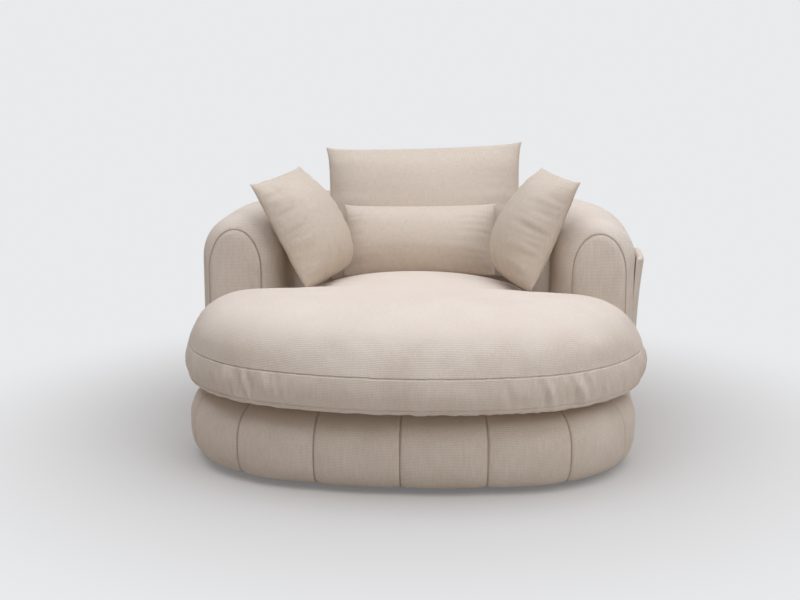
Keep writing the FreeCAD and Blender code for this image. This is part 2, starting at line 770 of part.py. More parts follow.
# One cover over arms and back, open below for the frame and in front for the panels.
panel_profile = drawn_in("panel_profile", front_profile, cell("panel_inset"))
panel_room_profile = drawn_in("panel_room_profile", front_profile, f"({cell('panel_inset')} - {cell('fit_gap')})")
panel_room = along_arm("panel_room", panel_room_profile, f"(-{cell('cover')})", f"2 * {cell('cover')}")
right_skin = cut("right_skin", arm_form, arm_lining)
right_cover = cut("right_cover", right_skin, fuse("right_openings", [right_room, panel_room]))
back_skin = cut("back_skin", back_form, back_lining)
back_cover = cut("back_cover", back_skin, frame_room)
keep(fuse("barrel_cover", [right_cover, back_cover, mirrored("left_cover", right_cover)]), "barrel_cover")
right_panel = along_arm("right_panel", panel_profile, "0", cell("cover"))
keep(right_panel, "right_arm_front_panel")
keep(mirrored("left_panel", right_panel), "left_arm_front_panel")


# Side pocket: a padded panel with closed ends, open along the top, with a rolled hem.
def pocket_form(name, grow, front, length, top):
    """Make the wedge between the arm and a plane that leans away from it."""
    wall_x = size("half_width") + size("fit_gap")
    low = size("pocket_bottom") + grow[2]
    near = wall_x
    foot_x = wall_x + size("pocket_foot") + grow[0]
    top_x = wall_x + size("pocket_mouth") + grow[1]
    corners = [V(near, front, low), V(foot_x, front, low), V(top_x, front, top), V(near, front, top)]
    face = Part.Face(Part.makePolygon(corners + corners[:1]))
    thing = doc.addObject("Part::Feature", name)
    thing.Shape = face.extrude(V(0, length, 0))
    return thing


pocket_y = -size("pocket_front")
pocket_side = size("pocket_side")
panel_thick = size("pocket_panel")
pocket_out = pocket_form(
    "pocket_out", (panel_thick, panel_thick, 0), pocket_y, size("pocket_length"), size("pocket_top"),
)
pocket_in = pocket_form(
    "pocket_in", (0, 0, panel_thick), pocket_y + pocket_side, size("pocket_length") - 2 * pocket_side,
    size("pocket_top"),
)
hem_x = half + size("fit_gap") + size("pocket_mouth") + size("hem_radius")
hem_place = V(hem_x, pocket_y, size("pocket_top"))


def hem_rod(name, grow):
    rod = made("Part::Cylinder", name, Radius=f"{cell('hem_radius')} + {grow}", Height=cell("pocket_length"))
    rod.Placement = FreeCAD.Placement(hem_place, FreeCAD.Rotation(V(1, 0, 0), -90))
    return rod


hem_blank = hem_rod("hem_blank", "0")
doc.recompute()
hem = doc.addObject("Part::Fillet", "hem")
hem.Base = hem_blank
hem_round = size("hem_radius") * 0.8
hem_ends = [index for index, edge in enumerate(hem_blank.Shape.Edges, start=1) if edge.isClosed()]
hem.Edges = [(index, hem_round, hem_round) for index in hem_ends if hem_blank.Shape.Edges[index - 1].Curve.TypeId
             == "Part::GeomCircle"]
keep(hem, "pocket_hem")
pocket_shell = cut("pocket_shell", pocket_out, pocket_in)
keep(cut("side_pocket", pocket_shell, hem_rod("hem_room", "0")), "side_pocket")

# Seat cushion: one wide cushion whose wings pass in front of the arms.
seat_low = deck_top + size("seat_lift_gap")
seat_seam = seat_low + size("seat_border")
seat_top = seat_seam + size("seat_crown")


def seat_wire(height, draw, front_in=0, side_in=0, neck_in=0, wing_in=0, rear_in=0):
    """Draw the outline of the cushion at one height, drawn in by the given amounts."""
    side_x = size("seat_half_width") - side_in - draw
    shoulder = line_y - wing_in - draw
    tip = line_y - size("seat_reach") + front_in + draw
    reach = shoulder - tip
    bend = reach - size("seat_flatness")
    wide_r = front_radius(side_x, reach, bend)
    wide_mid = V(0, tip + wide_r, height)
    bend_mid = V(side_x - bend, shoulder, height)
    aim = (bend_mid - wide_mid).normalize()
    meet = wide_mid + aim * wide_r
    halfway = (aim + V(1, 0, 0)).normalize()
    wing_y = -size("arm_front") - size("wing_gap") - wing_in - draw
    wing_r = size("wing_corner")
    neck_x = size("half_width") - size("arm_width") - size("neck_gap") - neck_in - draw
    neck_r = size("neck_corner")
    rear_mid = back_y - rear_in + neck_in
    slant = math.sqrt(0.5)
    front_side = V(wide_r * math.sin(math.atan2(aim.x, -aim.y) / 2), 0, 0)
    front_side.y = wide_mid.y - math.sqrt(wide_r ** 2 - front_side.x ** 2)
    points = [
        (V(0, tip, 0), V(front_side.x, front_side.y, 0), meet),
        (meet, bend_mid + halfway * bend, V(side_x, shoulder, 0)),
        (V(side_x, shoulder, 0), None, V(side_x, wing_y - wing_r, 0)),
        (V(side_x, wing_y - wing_r, 0),
         V(side_x - wing_r + wing_r * slant, wing_y - wing_r + wing_r * slant, 0),
         V(side_x - wing_r, wing_y, 0)),
        (V(side_x - wing_r, wing_y, 0), None, V(neck_x + neck_r, wing_y, 0)),
        (V(neck_x + neck_r, wing_y, 0),
         V(neck_x + neck_r - neck_r * slant, wing_y + neck_r - neck_r * slant, 0),
         V(neck_x, wing_y + neck_r, 0)),
        (V(neck_x, wing_y + neck_r, 0), None, V(neck_x, rear_mid, 0)),
        (V(neck_x, rear_mid, 0), V(neck_x * slant, rear_mid + neck_x * slant, 0), V(0, rear_mid + neck_x, 0)),
    ]

    def edge(first, middle, last, side):
        ends = [V(side * p.x, p.y, height) for p in (first, last)]
        if middle is None:
            return Part.makeLine(*ends)
        return Part.Arc(ends[0], V(side * middle.x, middle.y, height), ends[1]).toShape()

    right = [edge(*three, 1) for three in points]
    left = [edge(last, middle, first, -1) for first, middle, last in reversed(points)]
    return Part.Wire(right + left)


# Each level of the crown: share of its height, then how far each edge draws in.
CROWN = (
    (0, 0, 0, 0, 0, 0),
    (0.42, 24, 22, 30, 12, 110),
    (0.74, 64, 62, 95, 28, 270),
    (0.92, 125, 125, 160, 48, 400),
    (1, 215, 215, 230, 72, 510),
)


def crown_form(draw, low, top):
    """Return the domed upper half of the cushion, drawn in by a skin."""
    wires = [seat_wire(low + share * (top - low), draw, *insets) for share, *insets in CROWN]
    return Part.makeLoft(wires, True)


def flat_form(draw, low, top):
    """Return a slab of the cushion outline."""
    return Part.Face(seat_wire(low, draw)).extrude(V(0, 0, top - low))


def feature(label, shape):
    thing = doc.addObject("Part::Feature", label)
    thing.Shape = shape
    return keep(thing, label)


skin = size("seat_cover")
gap = size("fit_gap")
inner_skin = skin + gap
feature("seat_cover_bottom", flat_form(0, seat_low, seat_low + skin))
feature("seat_cover_border", flat_form(0, seat_low + skin, seat_seam).cut(flat_form(skin, seat_low, seat_top)))
outer_crown = crown_form(0, seat_seam, seat_top)
feature("seat_cover_top", outer_crown.cut(crown_form(skin, seat_seam, seat_top - skin)))
feature("seat_foam_core", flat_form(inner_skin, seat_low + inner_skin, seat_seam - gap))
feature("seat_fibre_crown", crown_form(inner_skin, seat_seam, seat_top - inner_skin))

# Loose pillows: a full lens across, thin at the seam all round, sides drawn in between the corners.
STATIONS = (-1, -0.86, -0.55, 0, 0.55, 0.86, 1)


def pillow_form(width, height, belly, rear, draw, skin_depth):
    """Return a pillow standing on its long edge about its own middle, drawn in by a skin."""
    wires = []
    for share in STATIONS:
        x = share * (width / 2 - skin_depth)
        tall = height / 2 - draw * (1 - share ** 2)
        full = (1 - share ** 2) ** 0.6
        edge = size("pillow_edge")
        bulges = []
        for depth in (belly, rear):
            bulge = edge + (depth - edge) * full
            radius = (tall ** 2 + bulge ** 2) / (2 * bulge)
            reach = math.sqrt((radius - skin_depth) ** 2 - (radius - bulge) ** 2)
            bulges.append((bulge - skin_depth, reach))
        reach = min(bulges[0][1], bulges[1][1])
        low, top = V(x, 0, -reach), V(x, 0, reach)
        wires.append(Part.Wire([
            Part.Arc(low, V(x, -bulges[0][0], 0), top).toShape(),
            Part.Arc(top, V(x, bulges[1][0], 0), low).toShape(),
        ]))
    form = Part.makeLoft(wires, True)
    scoop = ((height / 2) ** 2 + draw ** 2) / (2 * draw)
    for side in (1, -1):
        middle = V(side * (width / 2 - draw - skin_depth + scoop), -width, 0)
        form = form.cut(Part.makeCylinder(scoop, 2 * width, middle, BACKWARD))
    return form


def pillow(label, kind):
    """Make the cover and the filling of one pillow and set it in its place."""
    sizes = [size(f"{kind}_{word}") for word in ("width", "height", "belly", "rear", "draw")]
    turn = FreeCAD.Rotation(UP, size(label + "_turn"))
    lean = FreeCAD.Rotation(V(1, 0, 0), -size(label + "_lean"))
    roll = FreeCAD.Rotation(BACKWARD, size(label + "_roll"))
    middle = V(size(label + "_x"), size(label + "_y"), size(label + "_z"))
    place = FreeCAD.Placement(middle, turn.multiply(lean).multiply(roll))
    thick = size("pillow_cover")
    shell = pillow_form(*sizes, 0).cut(pillow_form(*sizes, thick))
    cover_piece = feature(label + "_cover", shell)
    cover_piece.Placement = place
    filling = feature(label + "_filling", pillow_form(*sizes, thick + size("fit_gap")))
    filling.Placement = place


pillow("back_pillow", "back_pillow")
pillow("lumbar", "lumbar")
pillow("left_throw", "throw")
pillow("right_throw", "throw")

# Every object is tested, then each sub-part is written.
doc.recompute()
for thing in doc.Objects:
    if "Invalid" in thing.State or "Error" in thing.State:
        raise RuntimeError(thing.Label + " did not build")
for piece in PARTS:
    if piece.Shape.isNull() or not piece.Shape.isValid() or not piece.Shape.Solids:
        raise RuntimeError(piece.Label + " has no valid solid")
for piece in PARTS:
    piece.Shape.exportStep("parts/" + piece.Label + ".step")
    print(piece.Label, len(piece.Shape.Solids), round(piece.Shape.Volume / 1000))
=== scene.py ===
import json
import math

import bmesh
import bpy
from mathutils import Matrix, Vector, noise


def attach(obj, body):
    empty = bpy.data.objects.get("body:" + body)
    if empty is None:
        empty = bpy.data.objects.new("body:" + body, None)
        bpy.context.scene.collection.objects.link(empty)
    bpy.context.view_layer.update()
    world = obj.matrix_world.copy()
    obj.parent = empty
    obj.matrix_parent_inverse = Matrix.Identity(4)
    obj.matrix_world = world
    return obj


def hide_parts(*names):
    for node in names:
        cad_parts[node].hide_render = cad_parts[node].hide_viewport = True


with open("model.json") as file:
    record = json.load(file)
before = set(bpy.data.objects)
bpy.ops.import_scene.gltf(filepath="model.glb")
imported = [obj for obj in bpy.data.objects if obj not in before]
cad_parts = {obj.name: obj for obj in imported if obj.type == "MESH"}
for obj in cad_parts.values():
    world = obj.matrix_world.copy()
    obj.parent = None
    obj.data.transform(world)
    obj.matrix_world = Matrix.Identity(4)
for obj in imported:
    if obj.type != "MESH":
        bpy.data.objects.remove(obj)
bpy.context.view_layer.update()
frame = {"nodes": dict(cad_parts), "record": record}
scene = bpy.context.scene

QUARTER_TURN = math.pi / 2
FULL_TURN = 2 * math.pi

# Plan of the base in metres, as the solids have it: front arc, corners, straight
# sides, round back.
HALF_WIDTH = 0.650
FRONT_LINE = -0.2625
FRONT_REACH = 0.432
CORNER = 0.400
BACK_CENTRE = 0.0875
CHANNELS = 19

# The tub of arms and back.
TUB_LOW = 0.2385
TUB_WALL = 0.250
RIM = 0.680
ARM_FRONT = -0.1625

# The seat cushion.
SEAT_LOW = 0.2376
SEAT_SEAM = 0.3384
SEAT_TOP = 0.4824
LOW_SEAM = 0.0155

# How close points lie that become one, in a shape and in a finished piece.
SHAPE_MERGE = 0.0001
PIECE_MERGE = 0.0002


def clamped(value):
    """Keep a value between 0 and 1."""
    return min(1.0, max(0.0, value))


def bell(away, spread):
    """Fall off smoothly from 1 to nothing within a few spreads."""
    return math.exp(-(away / spread) ** 2)


def grown(low, share):
    """Grow from low to 1 as the share grows from 0 to 1."""
    return low + (1 - low) * share


def crowded(share, amount):
    """Move a share of the way from 0 to 1 towards the nearer end."""
    return share - amount * math.sin(FULL_TURN * share) / FULL_TURN


def ripple(x, y, z):
    """Smooth unevenness at a place."""
    return noise.noise(Vector((x, y, z)))


def arc_turn(half, reach, corner):
    """Radius of the flat front arc that runs on into both corners."""
    spread = (half - corner) ** 2 + reach ** 2 - corner ** 2
    return spread / (2 * (reach - corner))


FRONT_R = arc_turn(HALF_WIDTH, FRONT_REACH, CORNER)
FRONT_MID = Vector((0, FRONT_LINE - FRONT_REACH + FRONT_R))
CORNER_MID = Vector((HALF_WIDTH - CORNER, FRONT_LINE))
JOIN_AIM = (CORNER_MID - FRONT_MID).normalized()
JOIN_TURN = math.atan2(JOIN_AIM.x, -JOIN_AIM.y)
FRONT_RUN = FRONT_R * JOIN_TURN
CORNER_RUN = CORNER * (QUARTER_TURN - JOIN_TURN)
SIDE_RUN = BACK_CENTRE - FRONT_LINE
BACK_RUN = HALF_WIDTH * QUARTER_TURN
HALF_RUN = FRONT_RUN + CORNER_RUN + SIDE_RUN + BACK_RUN
ROUND_RUN = 2 * HALF_RUN
ARM_START = FRONT_RUN + CORNER_RUN + ARM_FRONT - FRONT_LINE


def outline(run, inset):
    """Point of the base outline, run metres from the front middle, inset inwards."""
    run %= ROUND_RUN
    side = 1
    if run > HALF_RUN:
        run, side = ROUND_RUN - run, -1
    if run <= FRONT_RUN:
        turn, middle, radius = run / FRONT_R, FRONT_MID, FRONT_R
    elif run <= FRONT_RUN + CORNER_RUN:
        turn = JOIN_TURN + (run - FRONT_RUN) / CORNER
        middle, radius = CORNER_MID, CORNER
    elif run <= FRONT_RUN + CORNER_RUN + SIDE_RUN:
        y = FRONT_LINE + run - FRONT_RUN - CORNER_RUN
        return Vector((side * (HALF_WIDTH - inset), y))
    else:
        turn = QUARTER_TURN + (run - HALF_RUN + BACK_RUN) / HALF_WIDTH
        middle, radius = Vector((0, BACK_CENTRE)), HALF_WIDTH
    reach = radius - inset
    x = side * (middle.x + reach * math.sin(turn))
    return Vector((x, middle.y - reach * math.cos(turn)))


def grid(columns, rows, place):
    """Make a grid of faces and set each point where place(column, row) says."""
    bm = bmesh.new()
    bmesh.ops.create_grid(bm, x_segments=columns, y_segments=rows, size=0.5)
    for vert in bm.verts:
        column = round((vert.co.x + 0.5) * columns)
        row = round((vert.co.y + 0.5) * rows)
        vert.co = place(column, row)
    return bm


def merge(bm, distance):
    """Make points that lie together one."""
    bmesh.ops.remove_doubles(bm, verts=bm.verts[:], dist=distance)


def closed_grid(columns, rows, place):
    """Make a grid that runs round into itself, with both its ends closed."""
    bm = grid(columns, rows, place)
    merge(bm, SHAPE_MERGE)
    bmesh.ops.holes_fill(bm, edges=bm.edges[:], sides=0)
    return bm


def new_mesh(name, bm):
    """Turn a bmesh into a mesh."""
    mesh = bpy.data.meshes.new(name)
    bm.to_mesh(mesh)
    bm.free()
    return mesh


def new_object(name, data):
    """Make an object and put it in the scene."""
    thing = bpy.data.objects.new(name, data)
    scene.collection.objects.link(thing)
    return thing


# Nodes that the finishes are made of.
def set_inputs(tree, node, inputs):
    """Give inputs, by name or number, a value or a link each."""
    for label, value in inputs.items():
        if isinstance(value, bpy.types.NodeSocket):
            tree.links.new(value, node.inputs[label])
        else:
            node.inputs[label].default_value = value


def add_node(tree, kind, inputs):
    """Add a shader node with its inputs."""
    node = tree.nodes.new("ShaderNode" + kind)
    set_inputs(tree, node, inputs)
    return node


def math_node(tree, how, *values, clamp=False):
    """Add one sum of values, each a socket or a number."""
    node = add_node(tree, "Math", dict(enumerate(values)))
    node.operation = how
    node.use_clamp = clamp
    return node.outputs[0]


def weighted(tree, *terms):
    """Add up values, each times its weight."""
    total = None
    for value, weight in terms:
        part = math_node(tree, "MULTIPLY", value, weight)
        total = part if total is None else math_node(tree, "ADD", total, part)
    return total


def noise_node(tree, vector, scale, detail=2.0, roughness=0.5, distortion=0.0):
    """Add noise at a place."""
    node = add_node(tree, "TexNoise", {
        "Vector": vector, "Scale": scale, "Detail": detail,
        "Roughness": roughness, "Distortion": distortion})
    return node.outputs["Fac"]


def drawn_node(tree, vector, scale):
    """Draw a place out along its axes."""
    return add_node(tree, "Mapping", {"Vector": vector, "Scale": scale}).outputs[0]


def range_node(tree, value, given, put=(0.0, 1.0), smooth=False):
    """Turn one range of a value into another."""
    node = add_node(tree, "MapRange", {
        "Value": value, "From Min": given[0], "From Max": given[1],
        "To Min": put[0], "To Max": put[1]})
    if smooth:
        node.interpolation_type = "SMOOTHSTEP"
    return node.outputs[0]


# Shades of a pattern that take its darkest and its palest colour.
RAMP_SPAN = (0.3, 0.75)


def ramp_node(tree, value, dark, pale):
    """Turn a shade into a colour between the darkest and the palest."""
    ramp = add_node(tree, "ValToRGB", {0: value})
    first, last = ramp.color_ramp.elements
    first.position, last.position = RAMP_SPAN
    first.color, last.color = dark, pale
    return ramp.outputs[0]


def pattern_group(name, size_name):
    """Start a group that makes a height and a shade from a place and a size."""
    tree = bpy.data.node_groups.new(name, "ShaderNodeTree")
    for label, way, kind in (
            ("Vector", "INPUT", "Vector"), (size_name, "INPUT", "Float"),
            ("Height", "OUTPUT", "Float"), ("Shade", "OUTPUT", "Float")):
        tree.interface.new_socket(label, in_out=way, socket_type="NodeSocket" + kind)
    given = tree.nodes.new("NodeGroupInput").outputs
    put = tree.nodes.new("NodeGroupOutput").inputs
    return tree, given["Vector"], given[size_name], put


# Ribbed yarn: how level cloth is where its ribs turn, the wander of the ribs, the waves
# of tufts, streaks and broad shade to the metre, and how calm flat cloth is.
RIB_TURN = (0.62, 0.78)
RIB_WANDER = 0.006
RIB_WANDER_RATE = 14.0
TUFT_RATE = 420.0
STREAK_FINE = 190.0
STREAK_LONG = 24.0
BROAD_RATE = 9.0
ROUGH_YARN = 0.6
FLAT_CALM = 0.5
MEAN_SHADE = 0.53
STREAK_WEIGHT = 0.34


def ribbed_yarn():
    """Group: fine ribs, level on upright cloth and across on flat cloth, with tufts."""
    tree, place, pitch, put = pattern_group("ribbed_yarn", "Pitch")
    axes = add_node(tree, "SeparateXYZ", {0: place}).outputs
    facing = tree.nodes.new("ShaderNodeNewGeometry").outputs["Normal"]
    lean = add_node(tree, "SeparateXYZ", {0: facing}).outputs["Z"]
    flat = range_node(tree, math_node(tree, "ABSOLUTE", lean), RIB_TURN, smooth=True)
    wobble = noise_node(tree, place, RIB_WANDER_RATE, 1.0)
    shift = math_node(tree, "MULTIPLY", wobble, RIB_WANDER)

    def rib(axis):
        turns = math_node(tree, "DIVIDE", math_node(tree, "ADD", axis, shift), pitch)
        wave = math_node(tree, "SINE", math_node(tree, "MULTIPLY", turns, FULL_TURN))
        return math_node(tree, "MULTIPLY_ADD", wave, 0.5, 0.5)

    def by_lean(upright, level):
        node = add_node(tree, "Mix", {"Factor": flat, "A": upright, "B": level})
        return node.outputs["Result"]

    def streak(*stretch):
        return noise_node(tree, drawn_node(tree, place, stretch), 1.0, 2.0, ROUGH_YARN)

    ribs = by_lean(rib(axes["Z"]), rib(axes["Y"]))
    tuft = noise_node(tree, place, TUFT_RATE, 2.0, ROUGH_YARN)
    streaks = by_lean(
        streak(STREAK_FINE, STREAK_FINE, STREAK_LONG),
        streak(STREAK_FINE, STREAK_LONG, STREAK_FINE))
    broad = noise_node(tree, place, BROAD_RATE, 3.0)
    keep = math_node(tree, "SUBTRACT", 1.0, math_node(tree, "MULTIPLY", flat, FLAT_CALM))
    height = weighted(tree, (ribs, 0.35), (tuft, 0.8))
    tree.links.new(math_node(tree, "MULTIPLY", height, keep), put["Height"])
    shade = weighted(
        tree, (ribs, 0.24), (tuft, 0.42), (broad, 0.4),
        (math_node(tree, "SUBTRACT", streaks, 0.5), STREAK_WEIGHT))
    uneven = math_node(tree, "SUBTRACT", shade, MEAN_SHADE)
    calm = math_node(tree, "MULTIPLY", uneven, keep)
    calm = math_node(tree, "ADD", calm, MEAN_SHADE, clamp=True)
    tree.links.new(calm, put["Shade"])
    return tree


SLUB_LONG = 40.0
SLUB_FINE = 900.0


def plain_weave():
    """Group: over and under threads of two directions, with slubs along both."""
    tree, place, threads, put = pattern_group("plain_weave", "Threads")
    axes = add_node(tree, "SeparateXYZ", {0: place}).outputs
    waves = []
    for axis in ("X", "Y"):
        turns = math_node(tree, "MULTIPLY", axes[axis], threads)
        waves.append(math_node(tree, "SINE", math_node(tree, "MULTIPLY", turns, math.pi)))
    check = math_node(tree, "MULTIPLY", *waves)
    slubs = []
    for stretch in ((SLUB_LONG, SLUB_FINE, 1.0), (SLUB_FINE, SLUB_LONG, 1.0)):
        slubs.append(noise_node(tree, drawn_node(tree, place, stretch), 1.0))
    slub = math_node(tree, "MULTIPLY", math_node(tree, "ADD", *slubs), 0.5)
    tree.links.new(weighted(tree, (check, 0.3), (slub, 1.2)), put["Height"])
    faint = math_node(tree, "MULTIPLY", check, 0.12)
    tree.links.new(math_node(tree, "ADD", faint, slub, clamp=True), put["Shade"])
    return tree


def loose_fibre():
    """Group: matted fibre or open cells."""
    tree, place, size, put = pattern_group("loose_fibre", "Size")
    fine = noise_node(tree, place, size, 4.0, 0.7)
    cells = add_node(tree, "TexVoronoi", {"Vector": place, "Scale": size})
    both = weighted(tree, (fine, 0.7), (cells.outputs["Distance"], 0.4))
    tree.links.new(both, put["Height"])
    tree.links.new(both, put["Shade"])
    return tree


GRAIN_STRETCH = (1.0, 14.0, 14.0)
PORE_RATE = 90.0


def wood_grain():
    """Group: long grain with soft bands and pores."""
    tree, place, grain, put = pattern_group("wood_grain", "Grain")
    drawn = drawn_node(tree, place, GRAIN_STRETCH)
    bands = noise_node(tree, drawn, grain, 5.0, distortion=0.6)
    pores = noise_node(tree, drawn, PORE_RATE, 2.0, 0.7)
    both = weighted(tree, (bands, 0.75), (pores, 0.25))
    tree.links.new(both, put["Height"])
    tree.links.new(both, put["Shade"])
    return tree


RIBBED = ribbed_yarn()
WOVEN = plain_weave()
FIBRE = loose_fibre()
GRAIN = wood_grain()


def srgb(red, green, blue):
    """Turn the eight-bit colour of a finish into the colour that a shader takes."""
    parts = [value / 255 for value in (red, green, blue)]
    return [value / 12.92 if value <= 0.04045 else ((value + 0.055) / 1.055) ** 2.4
            for value in parts] + [1.0]


def new_material(name):
    """Start a material and return it with its nodes and its shader."""
    material = bpy.data.materials.new(name)
    material.use_nodes = True
    tree = material.node_tree
    return material, tree, tree.nodes["Principled BSDF"]


CLOTH_ROUGHNESS = 0.92
CLOTH_SPECULAR = 0.2
HARD_SPECULAR = 0.5
SHEEN_ROUGHNESS = 0.45
SHEEN_TINT = srgb(250, 240, 228)


def cloth_material(name, pattern, source, size, dark, pale, depth, sheen):
    """Make one upholstery cloth from a pattern on its coordinates."""
    material, tree, shader = new_material(name)
    where = tree.nodes.new("ShaderNodeTexCoord").outputs[source]
    weave = tree.nodes.new("ShaderNodeGroup")
    weave.node_tree = pattern
    set_inputs(tree, weave, {0: where, 1: size})
    relief = add_node(tree, "Bump", {
        "Strength": 1.0, "Distance": depth, "Height": weave.outputs["Height"]})
    set_inputs(tree, shader, {
        "Base Color": ramp_node(tree, weave.outputs["Shade"], srgb(*dark), srgb(*pale)),
        "Normal": relief.outputs[0],
        "Roughness": CLOTH_ROUGHNESS,
        "Specular IOR Level": CLOTH_SPECULAR,
        "Sheen Weight": sheen,
        "Sheen Roughness": SHEEN_ROUGHNESS,
        "Sheen Tint": SHEEN_TINT})
    return material


def hard_material(name, pattern, size, dark, pale, depth, rough, metal):
    """Make one hard finish from a pattern."""
    material = cloth_material(name, pattern, "Object", size, dark, pale, depth, 0.0)
    shader = material.node_tree.nodes["Principled BSDF"]
    set_inputs(material.node_tree, shader, {
        "Roughness": rough, "Specular IOR Level": HARD_SPECULAR, "Metallic": metal})
    return material


# Cloths and fillings: pattern, its coordinates and size, darkest and palest colour,
# depth of the relief in metres, sheen.
CLOTHS = (
    ("chenille", RIBBED, "Object", 0.0042,
     (206, 190, 175), (231, 220, 208), 0.0007, 0.2),
    ("pillow_weave", WOVEN, "UV", 620.0,
     (195, 179, 162), (221, 207, 191), 0.0006, 0.12),
    # Seam threads: darker than the chenille, the stitching together with the painted shade
    # of the seam grooves.
    ("seam_shade_thread", RIBBED, "Object", 0.0012,
     (182, 164, 146), (204, 187, 169), 0.0003, 0.0),
    ("deck_canvas", WOVEN, "Object", 700.0,
     (92, 80, 69), (122, 108, 95), 0.0005, 0.05),
    ("dust_cloth", FIBRE, "Object", 260.0,
     (24, 24, 25), (44, 44, 46), 0.0004, 0.0),
    ("felt", FIBRE, "Object", 140.0,
     (120, 117, 112), (176, 172, 166), 0.0010, 0.1),
    ("upholstery_foam", FIBRE, "Object", 320.0,
     (206, 192, 150), (232, 222, 188), 0.0008, 0.0),
    ("fibre_fill", FIBRE, "Object", 110.0,
     (222, 221, 216), (244, 243, 240), 0.0012, 0.1),
)
# Hard finishes: pattern and its size, darkest and palest colour, depth of the relief in
# metres, roughness, metal.
HARD = (
    ("plywood", GRAIN, 6.0, (176, 138, 95), (221, 188, 145), 0.0004, 0.62, 0.0),
    ("timber", GRAIN, 9.0, (170, 128, 82), (214, 176, 128), 0.0005, 0.7, 0.0),
    ("spring_steel", FIBRE, 160.0, (78, 80, 84), (120, 122, 126), 0.0001, 0.38, 1.0),
    ("zinc_steel", FIBRE, 220.0, (160, 163, 166), (196, 198, 200), 0.0001, 0.33, 1.0),
    ("black_plastic", FIBRE, 500.0, (22, 22, 23), (38, 38, 40), 0.0002, 0.55, 0.0),
)
FINISH = {row[0]: cloth_material(*row) for row in CLOTHS}
FINISH.update({row[0]: hard_material(*row) for row in HARD})

# The pieces inside show when the cushion is lifted, or from below.
for part in frame["record"]["subparts"]:
    for holder in frame["nodes"][part["node"]].material_slots:
        holder.material = FINISH[part["material_slot"]]


def dress(name, mesh, body, finish, nodes=(), fill=None, levels=0, slot=None):
    """Give a mesh its object, finish, smooth shading and place in the frame."""
    piece = new_object(name, mesh)
    mesh.materials.clear()
    mesh.materials.append(FINISH[finish])
    mesh.polygons.foreach_set("use_smooth", [True] * len(mesh.polygons))
    if levels:
        smooth = piece.modifiers.new("smooth", "SUBSURF")
        smooth.levels = levels
        smooth.render_levels = levels
    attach(piece, body)
    if nodes:
        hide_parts(*nodes)
    return piece


def finish_piece(name, bm, finish, nodes=(), distance=PIECE_MERGE, **rest):
    """Close a mesh of the frame, turn its faces outwards and dress it."""
    merge(bm, distance)
    bmesh.ops.recalc_face_normals(bm, faces=bm.faces[:])
    return dress(name, new_mesh(name, bm), "frame", finish, nodes, **rest)


# A way that no seam runs along, from which the round of a thread starts.
THREAD_SIDE = Vector((0.31, 0.2, 0.93))


def seam_shade_threads(name, lines, radius, sides):
    """Make fine round threads along lines of points, all in one piece, in a darker cloth
    that paints the shade of the seam grooves.
    """
    whole = bmesh.new()
    for points in lines:
        last = len(points) - 1

        def place(column, row):
            here = points[row]
            ahead, behind = points[min(row + 1, last)], points[max(row - 1, 0)]
            along = (ahead - behind).normalized()
            out = along.cross(THREAD_SIDE).normalized()
            up = out.cross(along)
            turn = FULL_TURN * column / sides
            return here + radius * (math.cos(turn) * out + math.sin(turn) * up)

        thread = grid(sides, last, place)
        merge(thread, radius * 0.05)
        bmesh.ops.holes_fill(thread, edges=thread.edges[:], sides=sides)
        mesh = new_mesh("thread", thread)
        whole.from_mesh(mesh)
        bpy.data.meshes.remove(mesh)
    finish_piece(name, whole, "seam_shade_thread", distance=radius * 0.02, slot="chenille")


# Base cover: one band of upright channels, rounded over at the top and turned under at
# the foot. Its top dips at the front, below the cushion.
CHANNEL_WIDTH = ROUND_RUN / CHANNELS
CHANNEL_COLUMNS = 20
CHANNEL_CROWDING = 0.92
CHANNEL_PUFF = 0.0055
BASE_LOW = 0.0170
BASE_HIGH = 0.2352
BASE_BELLY = 0.112
BASE_LOW_IN = 0.046
BASE_HIGH_IN = 0.108
BASE_UNDER = ((0.090, BASE_LOW), (0.062, BASE_LOW))
BASE_OVER = (0.116, BASE_HIGH - 0.002)
BASE_CURVE_STEPS = 15
BASE_LOW_CURVE = 0.8
BASE_HIGH_CURVE = 0.9
BASE_DIP = 0.013
DIP_START = -0.17
DIP_RUN = 0.10
BASE_FULLER = 0.003
BASE_SWELL = 0.0020
BASE_SWELL_ALONG = 5.2
BASE_SWELL_UP = 3.4
BASE_SWELL_SEED = 4.7
BASE_PULL = 0.0050
BASE_PULL_WIDTH = 0.0028
# Threads in the channel seams, darker as painted shade of the grooves: pull into the seam
# and radius.
BASE_SHADE_THREAD_PULL = 0.0031
BASE_SHADE_THREAD_R = 0.0011
FOOT_LIFT = 0.0025
FOOT_LIFT_WIDTH = 0.010
FOOT_LIFT_RISE = 0.02


def base_profile():
    """Steps up the band, a belly of two quarter ellipses: way in and height of each."""
    steps = [*BASE_UNDER]
    for step in range(BASE_CURVE_STEPS):
        turn = QUARTER_TURN * step / BASE_CURVE_STEPS
        rise = (BASE_BELLY - BASE_LOW) * (1 - math.cos(turn) ** BASE_LOW_CURVE)
        inset = BASE_LOW_IN * (1 - math.sin(turn) ** BASE_LOW_CURVE)
        steps.append((inset, BASE_LOW + rise))
    for step in range(BASE_CURVE_STEPS + 1):
        turn = QUARTER_TURN * step / BASE_CURVE_STEPS
        rise = (BASE_HIGH - BASE_BELLY) * math.sin(turn) ** BASE_HIGH_CURVE
        inset = BASE_HIGH_IN * (1 - math.cos(turn) ** BASE_HIGH_CURVE)
        steps.append((inset, BASE_BELLY + rise))
    return [*steps, BASE_OVER]


BASE_STEPS = base_profile()


